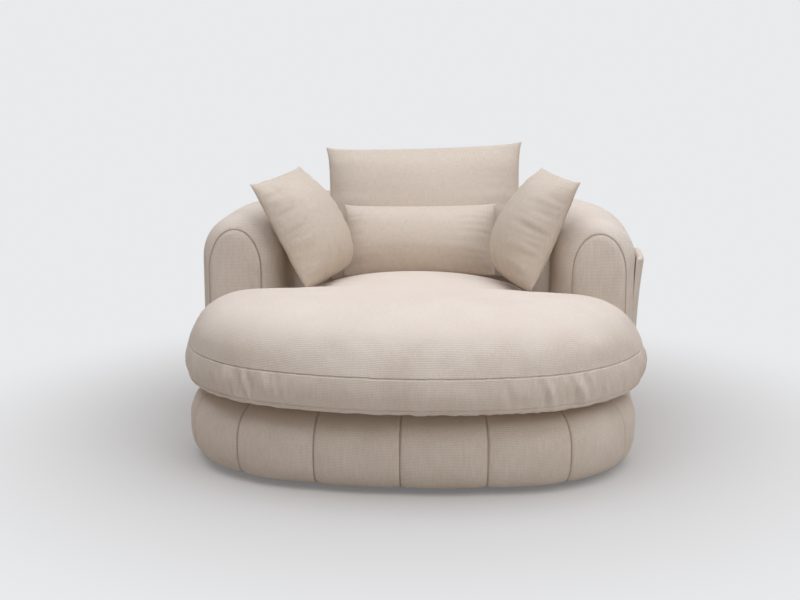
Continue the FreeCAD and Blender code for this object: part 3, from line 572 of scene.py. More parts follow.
def base_spot(run, row, pull):
    """Point of the band at one run and step, with the channel's own puff."""
    share = (run / CHANNEL_WIDTH) % 1.0
    beside = min(share, 1 - share) * CHANNEL_WIDTH
    inset, height = BASE_STEPS[row]
    inset += pull * bell(beside, BASE_PULL_WIDTH)
    inset += CHANNEL_PUFF * abs(2 * share - 1) ** 4
    inset += BASE_SWELL * ripple(
        run * BASE_SWELL_ALONG, height * BASE_SWELL_UP, BASE_SWELL_SEED)
    point = outline(run, inset - BASE_FULLER)
    level = clamped((height - BASE_LOW) / FOOT_LIFT_RISE)
    lift = FOOT_LIFT * bell(beside, FOOT_LIFT_WIDTH) * (1 - level)
    front = clamped((DIP_START - point.y) / DIP_RUN)
    high = max(0.0, (height - BASE_BELLY) / (BASE_HIGH - BASE_BELLY))
    return Vector((point.x, point.y, height + lift - BASE_DIP * front * high))


def base_point(column, row):
    """Point of the band, with columns crowded towards the seams."""
    channel, part = divmod(column, CHANNEL_COLUMNS)
    share = crowded(part / CHANNEL_COLUMNS, CHANNEL_CROWDING)
    return base_spot((channel + share) * ROUND_RUN / CHANNELS, row, BASE_PULL)


def base_seam(channel):
    """Line of the thread at one channel's edge, from the foot to the top; its darker cloth
    paints the groove's shade.
    """
    run = ROUND_RUN * channel / CHANNELS
    rows = range(len(BASE_UNDER), len(BASE_STEPS) - 1)
    return [base_spot(run, row, BASE_SHADE_THREAD_PULL) for row in rows]


finish_piece(
    "base_channels", grid(CHANNELS * CHANNEL_COLUMNS, len(BASE_STEPS) - 1, base_point),
    "chenille", ("base_channel_cover", "base_channel_foam"), fill=0.8, levels=1)
# Darker threads along the channel seams: the stitching together with painted shade of the
# seam grooves.
seam_shade_threads(
    "base_seam_shade_threads", [base_seam(channel) for channel in range(CHANNELS)],
    BASE_SHADE_THREAD_R, sides=6)


# Deck under the cushion: lining over a front roll and a pad, in one padded piece. A dust
# cloth closes the base below. Rows of the deck run from its underside over its edge to
# its middle: way in at the front and rear, share of the outline, height at the front
# and rear.
DECK_EDGE = 0.0606
DECK_REAR = 0.1258
DECK_PAD = 0.156
ROLL_LINE = 0.09
ROLL_END = -0.137
RAIL_START = -0.119
DECK_COLUMNS = 180
DECK_SWELL = 0.0003
DECK_SWELL_RATE = 9
DECK_SWELL_SEED = 2.0
DECK_ROWS = (
    (DECK_PAD, DECK_PAD, 0.03, 0.2216, 0.2216),
    (DECK_PAD, DECK_PAD, 0.50, 0.2216, 0.2216),
    (DECK_PAD, DECK_PAD, 1.00, 0.2216, 0.2216),
    (0.1530, 0.1530, 1.00, 0.2354, 0.2354),
    (0.1125, 0.1400, 1.00, 0.2354, 0.2354),
    (0.1105, 0.1350, 1.00, 0.2175, 0.2354),
    (0.0640, 0.1300, 1.00, 0.2175, 0.2354),
    (0.0610, 0.1264, 1.00, 0.2210, 0.2356),
    (DECK_EDGE, DECK_REAR, 1.00, 0.2310, 0.2360),
    (0.0630, 0.1270, 1.00, 0.2358, 0.2366),
    (0.0700, 0.1320, 1.00, 0.2368, 0.2368),
    (DECK_PAD, DECK_PAD, 1.00, 0.2367, 0.2367),
    (DECK_PAD, DECK_PAD, 0.50, 0.2360, 0.2360),
    (DECK_PAD, DECK_PAD, 0.03, 0.2356, 0.2356),
)
DUST_RINGS = 12
DUST_HEIGHT = 0.0178


def deck_point(column, row):
    """Point of the deck: columns run round it, rows over it."""
    run = ROUND_RUN * column / DECK_COLUMNS
    front_in, rear_in, scale, front_z, rear_z = DECK_ROWS[row]
    rear = clamped((outline(run, ROLL_LINE).y - ROLL_END) / (RAIL_START - ROLL_END))
    spot = outline(run, front_in + (rear_in - front_in) * rear) * scale
    swell = DECK_SWELL * ripple(
        spot.x * DECK_SWELL_RATE, spot.y * DECK_SWELL_RATE, DECK_SWELL_SEED)
    return Vector((spot.x, spot.y, front_z + (rear_z - front_z) * rear + swell))


def make_dust_cloth():
    """Stretch the dust cloth under the base ring."""

    def place(column, row):
        spot = outline(ROUND_RUN * column / DECK_COLUMNS, DECK_EDGE) * (row / DUST_RINGS)
        return Vector((spot.x, spot.y, DUST_HEIGHT))

    bm = grid(DECK_COLUMNS, DUST_RINGS, place)
    merge(bm, SHAPE_MERGE)
    area = sum(face.calc_area() for face in bm.faces)
    piece = finish_piece("dust_lining", bm, "dust_cloth", ("dust_cover",))


finish_piece(
    "deck_lining", closed_grid(DECK_COLUMNS, len(DECK_ROWS) - 1, deck_point),
    "deck_canvas", ("deck_cloth", "deck_edge_roll", "deck_pad"), fill=0.5)
make_dust_cloth()


# Tub cover: the section of a wall with a round top, swept from one arm front round to
# the other. On an arm's front the section draws in to the seam of the panel.
SECTION_LEG = 12
SECTION_ROUND = 26
SECTION_ROWS = 2 * SECTION_LEG + SECTION_ROUND
TUB_ROUND = TUB_WALL / 2
TUB_SPRING = RIM - TUB_ROUND
TUB_SWELL = 0.003
TUB_SWELL_RISE = 0.05
TUB_SWELL_RATES = (3.0, 6.0, 4.0)
FRONT_ROUND = 0.070
PANEL_INSET = 0.046
ARCH_DROP = 0.040
ARCH_SHIFT = 0.018
ARCH_LIFT = 0.13
CAP_STEPS = 11
CAP_CROWDING = 1.6
CAP_CLEAR = 0.002
CAP_LIP = 0.0014
CAP_TUCK_IN = 0.004
CAP_TUCK_BACK = 0.009


def section(row, inset):
    """Point of the wall's section: way in from the outer face, and height."""
    share = min(inset / PANEL_INSET, 1.0)
    drop, shift = ARCH_DROP * share, ARCH_SHIFT * share
    spring = TUB_SPRING - drop
    if row <= SECTION_LEG:
        return inset - shift, TUB_LOW + (spring - TUB_LOW) * row / SECTION_LEG
    if row >= SECTION_LEG + SECTION_ROUND:
        rise = (spring - TUB_LOW) * (SECTION_ROWS - row) / SECTION_LEG
        return TUB_WALL - inset - shift, TUB_LOW + rise
    turn = math.pi * (row - SECTION_LEG) / SECTION_ROUND
    radius = TUB_ROUND - inset
    across = TUB_ROUND - shift - radius * math.cos(turn)
    return across, spring + (radius + drop + ARCH_LIFT * inset) * math.sin(turn)


def front_fall(inset):
    """How far behind its front an arm lies, at a given way in from its section."""
    if inset >= FRONT_ROUND:
        return 0.0
    return FRONT_ROUND - math.sqrt(FRONT_ROUND ** 2 - (FRONT_ROUND - inset) ** 2)


def cap_steps():
    """Columns over an arm's front edge: way in from the section, way behind the front."""
    fall = front_fall(PANEL_INSET)
    steps = [(PANEL_INSET + CAP_TUCK_IN, fall + CAP_TUCK_BACK)]
    steps.append((PANEL_INSET, fall + CAP_LIP))
    for step in range(CAP_STEPS + 1):
        inset = (PANEL_INSET - CAP_CLEAR) * (1 - step / CAP_STEPS) ** CAP_CROWDING
        steps.append((inset, front_fall(inset)))
    return steps


CAP = cap_steps()
SWEEP_COLUMNS = 96
TUB_COLUMNS = 2 * len(CAP) + SWEEP_COLUMNS


def tub_point(column, row):
    """Point of the tub: columns run from arm front to arm front, rows over the rim."""
    if column < len(CAP):
        inset, back = CAP[column]
        run = ARM_START + back
    elif column > TUB_COLUMNS - len(CAP):
        inset, back = CAP[TUB_COLUMNS - column]
        run = ROUND_RUN - ARM_START - back
    else:
        first = ARM_START + FRONT_ROUND
        share = (column - len(CAP) + 1) / (SWEEP_COLUMNS + 2)
        inset, run = 0.0, first + (ROUND_RUN - 2 * first) * share
    across, height = section(row, inset)
    place = (value * rate for value, rate in zip((run, across, height), TUB_SWELL_RATES))
    swell = TUB_SWELL * ripple(*place) * clamped((height - TUB_LOW) / TUB_SWELL_RISE)
    point = outline(run, across + (swell if across > TUB_ROUND else -swell))
    return Vector((point.x, point.y, height))


finish_piece(
    "tub_cover", grid(TUB_COLUMNS, SECTION_ROWS, tub_point), "chenille",
    ("barrel_cover", "back_foam", "left_arm_foam", "right_arm_foam"), fill=0.8, levels=1)


PANEL_RINGS = 16
PANEL_CLEAR = 0.0018
PANEL_MIDDLE = TUB_ROUND - 0.001
PANEL_MERGE = 0.0025
PANEL_EDGE = 0.0014
PANEL_EDGE_WIDTH = 0.03
PANEL_DOME = 0.005
PANEL_SWELL = 0.0015
PANEL_SWELL_ACROSS = 14
PANEL_SWELL_UP = 9
# Thread of the panel's seam, darker as painted shade of the groove: way in, way back and
# radius.
PANEL_SHADE_THREAD_IN = 0.0005
PANEL_SHADE_THREAD_BACK = 0.0006
PANEL_SHADE_THREAD_R = 0.0012


def arm_panel(name, side, node):
    """Make the padded panel on one arm's front, with the fine thread of its seam, darker
    as painted groove shade.
    """

    def place(column, row):
        share = column / PANEL_RINGS
        inset = PANEL_INSET + PANEL_CLEAR
        inset += (PANEL_MIDDLE - PANEL_INSET - PANEL_CLEAR) * share
        across, height = section(row, inset)
        edge = PANEL_EDGE * bell(share, PANEL_EDGE_WIDTH)
        dome = PANEL_DOME * (1 - (1 - share) ** 2)
        y = ARM_FRONT + front_fall(inset) + edge - dome
        y += PANEL_SWELL * ripple(
            across * PANEL_SWELL_ACROSS, height * PANEL_SWELL_UP, side)
        return Vector((side * (HALF_WIDTH - across), y, height))

    finish_piece(
        name, grid(PANEL_RINGS, SECTION_ROWS, place), "chenille", (node,), PANEL_MERGE,
        fill=0.7, levels=1)
    seam = []
    seam_y = ARM_FRONT + front_fall(PANEL_INSET) + PANEL_SHADE_THREAD_BACK
    for row in range(SECTION_ROWS + 1):
        across, height = section(row, PANEL_INSET + PANEL_SHADE_THREAD_IN)
        seam.append(Vector((side * (HALF_WIDTH - across), seam_y, height)))
    # The seam thread is darker than the cover: painted shade of the seam's groove.
    seam_shade_threads(name + "_thread", [seam], PANEL_SHADE_THREAD_R, sides=8)


arm_panel("right_panel", 1, "right_arm_front_panel")
arm_panel("left_panel", -1, "left_arm_front_panel")


# Side pocket: a padded panel sewn down at its sides and foot, open at a rolled lip.
POCKET_BACK = 0.080
POCKET_FRONT = -0.120
POCKET_LOW = 0.302
POCKET_HIGH = 0.556
POCKET_COLUMNS = 24
POCKET_ROWS = 36
POCKET_CROWDING = 0.8
POCKET_SEWN = 7
POCKET_LIP = 8
POCKET_LIP_R = 0.0115
POCKET_GAP = 0.0015
POCKET_MOUTH = 0.004
POCKET_MOUTH_CURVE = 1.6
# Shares that are left at the foot or the sewn sides.
FOOT_THICK = 0.4
SIDE_THICK = 0.02
SIDE_MOUTH = 0.45
SIDE_STAND = 0.12


def pocket_point(column, row):
    """Point of the pocket: columns run along it, rows up, over its lip and down again."""
    along = crowded(column / POCKET_COLUMNS, POCKET_CROWDING)
    hold = (1 - abs(2 * along - 1) ** POCKET_SEWN) ** 0.5
    y = POCKET_FRONT + (POCKET_BACK - POCKET_FRONT) * along
    rows = (POCKET_ROWS - POCKET_LIP) // 2
    if row <= rows:
        rise, turn = row / rows, 0.0
    elif row >= rows + POCKET_LIP:
        rise, turn = (POCKET_ROWS - row) / rows, math.pi
    else:
        rise, turn = 1.0, math.pi * (row - rows) / POCKET_LIP
    wall = POCKET_LIP_R * grown(FOOT_THICK, rise ** 2)
    mouth = POCKET_MOUTH * rise ** POCKET_MOUTH_CURVE * grown(SIDE_MOUTH, hold)
    stand = POCKET_GAP + mouth + wall
    arm = HALF_WIDTH - front_fall(max(0.0, y - ARM_FRONT)) * (1 - rise ** 2)
    x = arm + stand * grown(SIDE_STAND, hold)
    x -= wall * grown(SIDE_THICK, hold) * math.cos(turn)
    z = POCKET_LOW + (POCKET_HIGH - POCKET_LOW) * rise
    return Vector((x, y, z + POCKET_LIP_R * hold * math.sin(turn)))


finish_piece(
    "pocket_wall", grid(POCKET_COLUMNS, POCKET_ROWS, pocket_point), "chenille",
    ("side_pocket", "pocket_hem"), fill=0.6, levels=1)


# Seat cushion: the outline of its cover, in zones from the front middle to the back
# middle, and its rings from the underside to the top of the crown.
SEAT_HALF = 0.657
SEAT_REACH = 0.475
SEAT_FLATNESS = 0.035
WING_REAR = -0.172
WING_R = 0.085
NECK_X = 0.395
NECK_R = 0.040
# Points of the front, bend, side, wing, wing's rear, neck, flank and back.
ZONE_POINTS = (30, 30, 3, 12, 12, 8, 14, 24)
UNDER_DRAWS = (0.030, 0.016)
SEAT_DRAW = 0.002
EDGE_R = 0.014
EDGE_STEPS = 4
BORDER_BULGE = 0.004
BORDER_STEPS = 9
CROWN_STEPS = 5
# Share of the crown's height, and ways in at the front, side, neck, wing and rear.
CROWN = (
    (0.00, 0.000, 0.000, 0.000, 0.000, 0.000),
    (0.42, 0.030, 0.028, 0.030, 0.012, 0.110),
    (0.74, 0.084, 0.078, 0.095, 0.028, 0.270),
    (0.92, 0.155, 0.145, 0.160, 0.048, 0.400),
    (1.00, 0.245, 0.235, 0.230, 0.072, 0.510),
)


def seat_half(draw, front_in, side_in, neck_in, wing_in, rear_in):
    """Points of one half of the cushion's outline, drawn in by the given amounts."""
    side_x = SEAT_HALF - side_in - draw
    shoulder = FRONT_LINE - wing_in - draw
    tip = FRONT_LINE - SEAT_REACH + front_in + draw
    reach = shoulder - tip
    bend = reach - SEAT_FLATNESS
    wide_r = arc_turn(side_x, reach, bend)
    wide_mid = Vector((0, tip + wide_r))
    bend_mid = Vector((side_x - bend, shoulder))
    aim = (bend_mid - wide_mid).normalized()
    join = math.atan2(aim.x, -aim.y)
    wing_x = side_x - WING_R
    wing_y = WING_REAR - wing_in - draw
    neck_x = NECK_X - neck_in - draw
    rear_y = BACK_CENTRE - rear_in + neck_in
    points = []

    def sweep(middle, radius, first, last, count):
        for step in range(count):
            turn = first + (last - first) * step / count
            points.append(middle + radius * Vector((math.sin(turn), -math.cos(turn))))

    def run(first, last, count):
        for step in range(count):
            points.append(Vector(first).lerp(Vector(last), step / count))

    quarter, half = QUARTER_TURN, 2 * QUARTER_TURN
    counts = iter(ZONE_POINTS)
    sweep(wide_mid, wide_r, 0, join, next(counts))
    sweep(bend_mid, bend, join, quarter, next(counts))
    run((side_x, shoulder), (side_x, wing_y - WING_R), next(counts))
    sweep(Vector((wing_x, wing_y - WING_R)), WING_R, quarter, half, next(counts))
    run((wing_x, wing_y), (neck_x + NECK_R, wing_y), next(counts))
    sweep(Vector((neck_x + NECK_R, wing_y + NECK_R)), NECK_R, 2 * half, 3 * quarter,
          next(counts))
    run((neck_x, wing_y + NECK_R), (neck_x, rear_y), next(counts))
    sweep(Vector((0, rear_y)), neck_x, quarter, half, next(counts))
    points.append(Vector((0, rear_y + neck_x)))
    return points


def seat_ring(draw, insets):
    """Closed outline: the right half, then the left half back to the front middle."""
    half = seat_half(draw, *insets)
    return half + [Vector((-p.x, p.y)) for p in reversed(half[1:-1])]


def between(first, second, third, fourth, share):
    """Smooth value between the second and third of four."""
    slope_a, slope_b = (third - first) / 2, (fourth - second) / 2
    squared, cubed = share * share, share ** 3
    return (second * (2 * cubed - 3 * squared + 1)
            + slope_a * (cubed - 2 * squared + share)
            + third * (3 * squared - 2 * cubed) + slope_b * (cubed - squared))


def seat_levels():
    """Rings of the cushion from its underside to its top: height, draw and insets."""
    flat = (0.0,) * 5
    levels = [(SEAT_LOW, draw, flat) for draw in UNDER_DRAWS]
    for step in range(1, EDGE_STEPS + 1):
        turn = QUARTER_TURN * step / EDGE_STEPS
        height = SEAT_LOW + EDGE_R * (1 - math.cos(turn))
        levels.append((height, SEAT_DRAW + EDGE_R * (1 - math.sin(turn)), flat))
    for step in range(1, BORDER_STEPS):
        share = step / BORDER_STEPS
        height = SEAT_LOW + EDGE_R + (SEAT_SEAM - SEAT_LOW - EDGE_R) * share
        levels.append((height, SEAT_DRAW - BORDER_BULGE * math.sin(math.pi * share), flat))
    rows = [CROWN[0], *CROWN, CROWN[-1]]
    for index in range(len(CROWN) - 1):
        for step in range(CROWN_STEPS):
            four = zip(*rows[index:index + 4])
            rise, *insets = [between(*values, step / CROWN_STEPS) for values in four]
            height = SEAT_SEAM + (SEAT_TOP - SEAT_SEAM) * rise
            levels.append((height, SEAT_DRAW, [max(0.0, inset) for inset in insets]))
    levels.append((SEAT_TOP, SEAT_DRAW, CROWN[-1][1:]))
    return levels


def seat_form():
    """Return the closed form of the cushion before it is blown up."""
    rings = [(height, seat_ring(draw, insets)) for height, draw, insets in seat_levels()]
    count = len(rings[0][1])

    def place(column, row):
        height, ring = rings[row]
        spot = ring[column % count]
        return Vector((spot.x, spot.y, height))

    bm = closed_grid(count, len(rings) - 1, place)
    bmesh.ops.recalc_face_normals(bm, faces=bm.faces[:])
    return new_mesh("seat_form", bm)


def applied(piece):
    """Return the mesh of a piece with its modifiers applied."""
    seen = piece.evaluated_get(bpy.context.evaluated_depsgraph_get())
    return bpy.data.meshes.new_from_object(seen)


def remeshed(mesh, voxel, rounds):
    """Return a closed mesh again as even small faces, lightly smoothed."""
    piece = new_object("form", mesh)
    even = piece.modifiers.new("even", "REMESH")
    even.mode = "VOXEL"
    even.voxel_size = voxel
    soften = piece.modifiers.new("soften", "SMOOTH")
    soften.factor = 0.5
    soften.iterations = rounds
    out = applied(piece)
    bpy.data.objects.remove(piece)
    return out


def eased(mesh, moves, held, rounds):
    """Average each loose point's move with its neighbours', so that no wave stays."""
    ends = [tuple(edge.vertices) for edge in mesh.edges]
    for _ in range(rounds):
        total = [move.copy() for move in moves]
        count = [1] * len(moves)
        for first, second in ends:
            total[first] += moves[second]
            total[second] += moves[first]
            count[first] += 1
            count[second] += 1
        moves = [Vector() if index in held else total[index] / count[index]
                 for index in range(len(moves))]
    return moves


CLOTH_QUALITY = 5
CLOTH_MASS = 0.3
CLOTH_STIFFNESS = 15.0
CLOTH_SHEAR = CLOTH_STIFFNESS / 3
CLOTH_BENDING = 0.5
CLOTH_DAMPING = 4.0
LEAST_MOVE = 1e-9


def inflate(mesh, held, pressure, frames, cap, shrink, ease):
    """Blow a cover up as cloth, with some points held and every move capped."""
    start = [vert.co.copy() for vert in mesh.vertices]
    piece = new_object("inflate", mesh)
    seam = piece.vertex_groups.new(name="seam")
    seam.add(sorted(held), 1.0, "REPLACE")
    cloth = piece.modifiers.new("cloth", "CLOTH")
    work = cloth.settings
    work.quality = CLOTH_QUALITY
    work.mass = CLOTH_MASS
    work.tension_stiffness = CLOTH_STIFFNESS
    work.compression_stiffness = CLOTH_STIFFNESS
    work.shear_stiffness = CLOTH_SHEAR
    work.bending_stiffness = CLOTH_BENDING
    work.use_pressure = True
    work.uniform_pressure_force = pressure
    work.effector_weights.gravity = 0.0
    work.vertex_group_mass = "seam"
    work.air_damping = CLOTH_DAMPING
    work.shrink_min = shrink
    cloth.collision_settings.use_collision = False
    cloth.point_cache.frame_start = 1
    cloth.point_cache.frame_end = frames
    for step in range(1, frames + 1):
        scene.frame_set(step)
    blown = applied(piece)
    scene.frame_set(1)
    moves = [vert.co - before for vert, before in zip(blown.vertices, start)]
    moves = [move * min(1.0, cap / max(move.length, LEAST_MOVE)) for move in moves]
    moves = eased(blown, moves, held, ease)
    for vert, before, move in zip(blown.vertices, start, moves):
        vert.co = before + move
    bpy.data.objects.remove(piece)
    return blown


SEAM_CUT = 1e-5
SEAM_REACH = 2e-5


def seam_groove(bm, height, half_width, depth):
    """Sew a groove round the cushion at one height."""
    for rise in (-half_width, 0.0, half_width):
        bmesh.ops.bisect_plane(
            bm, geom=bm.verts[:] + bm.edges[:] + bm.faces[:], dist=SEAM_CUT,
            plane_co=(0, 0, height + rise), plane_no=(0, 0, 1))
    bm.normal_update()
    for vert in bm.verts:
        if abs(vert.co.z - height) < SEAM_REACH:
            vert.co -= Vector((vert.normal.x, vert.normal.y, 0.0)).normalized() * depth


# Folds of the border: turn of the place from the front middle, spread and size.
FOLDS = (
    (0.72, 0.24, 0.0120),
    (-0.66, 0.16, 0.0090),
    (1.25, 0.30, 0.0070),
    (-1.30, 0.30, 0.0050),
)
FOLD_CENTRE_Y = -0.1
FOLD_STRENGTH = 1.6
FOLD_FINE = 0.4
BORDER_SWELL = 0.0025
# Least slope of a side that folds, and of one whose lower edge waves.
FOLD_SIDE = 0.2
RUFFLE_SIDE = 0.15
# Wavy lower edge, and the fuller end at the viewer's right.
RUFFLE_RISE = 0.030
RUFFLE = 0.006
RUFFLE_FINE = 0.007
RUFFLE_TURN = 0.4
RUFFLE_SPREAD = 0.45
LEAST_CLEAR = 0.0002
FULL_START = 0.45
FULL_RUN = 0.2
FULL_Y = -0.27
FULL_SPREAD = 0.35
FULL_OUT = 0.012
# Band of the border that gets finer faces.
FINE_ABOVE = 0.03
FINE_BELOW = 0.001


def border_turn(x, y):
    """Turn of a place on the border from the front middle."""
    return math.atan2(x, -(y - FOLD_CENTRE_Y))


def border_folds(x, y, z):
    """How far the border stands out at a point: upright folds and a soft swell."""
    share = (z - SEAT_LOW) / (SEAT_SEAM - SEAT_LOW)
    hold = max(0.0, math.sin(math.pi * clamped(share)))
    turn = border_turn(x, y)
    folds = 0.0
    for centre, spread, size in FOLDS:
        wave = ripple(turn * 30.0 + share * 1.2, centre * 9.0, share * 0.6)
        fine = ripple(turn * 62.0 - share * 1.5, centre * 5.0, share)
        folds += bell(turn - centre, spread) * size * (wave + FOLD_FINE * fine)
    swell = BORDER_SWELL * ripple(turn * 4.0, 3.0, share)
    return hold * (folds * FOLD_STRENGTH + swell)


def dress_seat(mesh):
    """Give the blown cushion its grooves, folds, wavy lower edge and fuller end."""
    bm = bmesh.new()
    bm.from_mesh(mesh)
    border = []
    for edge in bm.edges:
        low, high = sorted(vert.co.z for vert in edge.verts)
        if high < SEAT_SEAM + FINE_ABOVE and low > SEAT_LOW + FINE_BELOW:
            border.append(edge)
    bmesh.ops.subdivide_edges(bm, edges=border, cuts=1, use_grid_fill=True)
    bm.normal_update()
    for vert in bm.verts:
        x, y, z = vert.co
        side = Vector((vert.normal.x, vert.normal.y, 0.0))
        if side.length > FOLD_SIDE and z < SEAT_SEAM:
            vert.co += side.normalized() * border_folds(x, y, z)
        low = max(0.0, 1 - (z - SEAT_LOW) / RUFFLE_RISE)
        if low > 0 and side.length > RUFFLE_SIDE:
            turn = border_turn(x, y)
            ruffle = RUFFLE * ripple(turn * 15.0, 1.0, 0.0)
            fine = RUFFLE_FINE * bell(turn - RUFFLE_TURN, RUFFLE_SPREAD)
            ruffle += fine * ripple(turn * 36.0, 2.0, 0.0)
            vert.co.z = max(vert.co.z + low * ruffle, SEAT_LOW + LEAST_CLEAR)
        right = max(0.0, (x - FULL_START) / FULL_RUN)
        right *= max(0.0, 1 - abs(y - FULL_Y) / FULL_SPREAD)
        vert.co.x += FULL_OUT * min(right, 1.0)
    seam_groove(bm, SEAT_SEAM, half_width=0.0035, depth=0.0050)
    seam_groove(bm, SEAT_LOW + LOW_SEAM, half_width=0.0030, depth=0.0035)
    bm.to_mesh(mesh)
    bm.free()


SEAT_VOXEL = 0.010
HELD_UNDER = 0.012
HELD_SEAM = 0.007


def make_seat():
    """Form, blow up and sew the seat cushion."""
    mesh = remeshed(seat_form(), SEAT_VOXEL, rounds=2)
    held = {vert.index for vert in mesh.vertices
            if vert.co.z < SEAT_LOW + HELD_UNDER or abs(vert.co.z - SEAT_SEAM) < HELD_SEAM}
    mesh = inflate(
        mesh, held, pressure=2.0, frames=10, cap=0.007, shrink=-0.012, ease=6)
    dress_seat(mesh)
    dress(
        "seat_cushion_cover", mesh, "seat_cushion", "chenille",
        ("seat_cover_bottom", "seat_cover_border", "seat_cover_top", "seat_foam_core",
         "seat_fibre_crown"), fill=0.8, levels=1)


make_seat()


# Pillows: two cloth panels sewn round the edge, drawn in between the corners and blown
# up.
PILLOW_CELLS = 60
PILLOW_CROWDING = 0.35
PILLOW_MERGE = 0.00005
FULL_ACROSS = 0.54
FULL_UP = 0.56
SLACK = 0.05
SLACK_RATE = 1.3
CORNER_POINT = 5
GATHER_RUN = 0.24
GATHER_FINE = 0.5
SEAM_FLAT = 1e-6


def gathers(a, b, seed):
    """Gathers of the cloth that run in from each sewn edge and die out."""
    total = 0.0
    edges = ((1 - a, b), (1 + a, b), (1 - b, a), (1 + b, a))
    for number, (away, along) in enumerate(edges):
        wave = ripple(along * 8.0 + seed, number * 7.3 + seed, away * 1.1)
        fine = ripple(along * 17.0 - seed, number * 5.1, away * 2.0)
        total += (wave + GATHER_FINE * fine) * math.exp(-away / GATHER_RUN)
    return total


def panel_share(way):
    """Share of the way from a panel's middle to its seam, crowded towards the seam."""
    bent = math.sin(way * QUARTER_TURN)
    return bent * PILLOW_CROWDING + way * (1 - PILLOW_CROWDING)


def pillow_mesh(width, height, belly, rear, draw, foot, sag, ear, gather, seed):
    """Return the two sewn panels of one pillow about its middle, front towards -Y."""
    bm = bmesh.new()
    for side, depth in ((-1, belly), (1, rear)):
        panel = bmesh.ops.create_grid(
            bm, x_segments=PILLOW_CELLS, y_segments=PILLOW_CELLS, size=1.0)
        for vert in panel["verts"]:
            a, b = panel_share(vert.co.x), panel_share(vert.co.y)
            full = max(0.0, 1 - a * a) ** FULL_ACROSS * max(0.0, 1 - b * b) ** FULL_UP
            full *= (1 + gather * gathers(a, b, seed + side)) * (1 - sag * b)
            slack = 1 + SLACK * ripple(a * SLACK_RATE + seed, b * SLACK_RATE, side)
            corner = (a * a * b * b) ** CORNER_POINT
            rise, tip = (draw, ear) if b > 0 else (foot, -ear)
            x = a * (width / 2 - draw * (1 - b * b) + tip * corner)
            z = b * (height / 2 - rise * (1 - a * a) + tip * corner)
            vert.co = Vector((x, side * depth * full * slack, z))
    layer = bm.loops.layers.uv.verify()
    for face in bm.faces:
        for loop in face.loops:
            loop[layer].uv = (loop.vert.co.x, loop.vert.co.z)
    merge(bm, PILLOW_MERGE)
    bmesh.ops.recalc_face_normals(bm, faces=bm.faces[:])
    return new_mesh("pillow_form", bm)


def soften_cloth(mesh, held):
    """Smooth a blown mesh a little, all but its held points."""
    bm = bmesh.new()
    bm.from_mesh(mesh)
    loose = [vert for vert in bm.verts if vert.index not in held]
    bmesh.ops.smooth_vert(
        bm, verts=loose, factor=0.5, use_axis_x=True, use_axis_y=True, use_axis_z=True)
    bm.to_mesh(mesh)
    bm.free()


def turned(degrees, axis):
    """Matrix of a turn about one axis."""
    return Matrix.Rotation(math.radians(degrees), 4, axis)


def make_pillow(name, body, nodes, fill, middle, turn, lean, roll, **form):
    """Sew, blow up and place one pillow."""
    mesh = pillow_mesh(**form)
    seam = {vert.index for vert in mesh.vertices if abs(vert.co.y) < SEAM_FLAT}
    mesh = inflate(
        mesh, seam, pressure=4.0, frames=16, cap=0.008, shrink=-0.02, ease=16)
    soften_cloth(mesh, seam)
    place = Matrix.Translation(Vector(middle))
    mesh.transform(place @ turned(turn, "Z") @ turned(-lean, "X") @ turned(roll, "Y"))
    dress(name, mesh, body, "pillow_weave", nodes, fill, levels=1)


make_pillow(
    "back_pillow", "back_pillow", ("back_pillow_cover", "back_pillow_filling"), 0.7,
    middle=(-0.008, 0.3375, 0.6288), turn=0, lean=20, roll=-2.2,
    width=0.640, height=0.448, belly=0.092, rear=0.024, draw=0.006, foot=0.004,
    sag=0.03, ear=0.010, gather=0.12, seed=2.0)
make_pillow(
    "lumbar_pillow", "lumbar_pillow", ("lumbar_cover", "lumbar_filling"), 0.75,
    middle=(-0.013, 0.200, 0.5573), turn=0, lean=27, roll=-1.2,
    width=0.492, height=0.242, belly=0.076, rear=0.026, draw=0.006, foot=0.002,
    sag=0.0, ear=0.004, gather=0.12, seed=5.0)
THROW = dict(
    width=0.352, height=0.348, belly=0.102, rear=0.030, draw=0.004, foot=-0.006,
    sag=0.20, ear=0.005, gather=0.24)
make_pillow(
    "left_throw", "left_throw_pillow", ("left_throw_cover", "left_throw_filling"), 0.7,
    middle=(-0.354, -0.040, 0.6343), turn=73, lean=28.6, roll=-3.5, seed=9.0, **THROW)
make_pillow(
    "right_throw", "right_throw_pillow", ("right_throw_cover", "right_throw_filling"),
    0.7, middle=(0.358, -0.040, 0.6366), turn=-72, lean=23.8, roll=1.2, seed=13.0,
    **THROW)


# Floor and surround: a round pale floor that fades into a pale air of the same colour,
# from every side.
SURROUND = srgb(233, 234, 236)
FLOOR_COLOUR = srgb(200, 196, 191)
FLOOR_RADIUS = 14.0
FLOOR_SIDES = 96
FADE_SPAN = (0.62, 1.7)
FADE_SHARE = (0.18, 1.0)
AIR_COLOUR = srgb(255, 240, 222)
AIR_RISE = (0.05, 0.6)
AIR_STRENGTH = (0.05, 0.34)


def seen_rays(tree):
    """Value that is 1 where the surround is looked at, also in metal or glass."""
    path = tree.nodes.new("ShaderNodeLightPath").outputs
    seen = math_node(tree, "MAXIMUM", path["Is Camera Ray"], path["Is Glossy Ray"])
    return math_node(tree, "MAXIMUM", seen, path["Is Transmission Ray"])


def mix_surface(tree, factor, lit, shown, output):
    """Show one shader where the factor is 1 and light with the other."""
    mix = add_node(
        tree, "MixShader", {0: factor, 1: lit.outputs[0], 2: shown.outputs[0]})
    tree.links.new(mix.outputs[0], tree.nodes[output].inputs["Surface"])


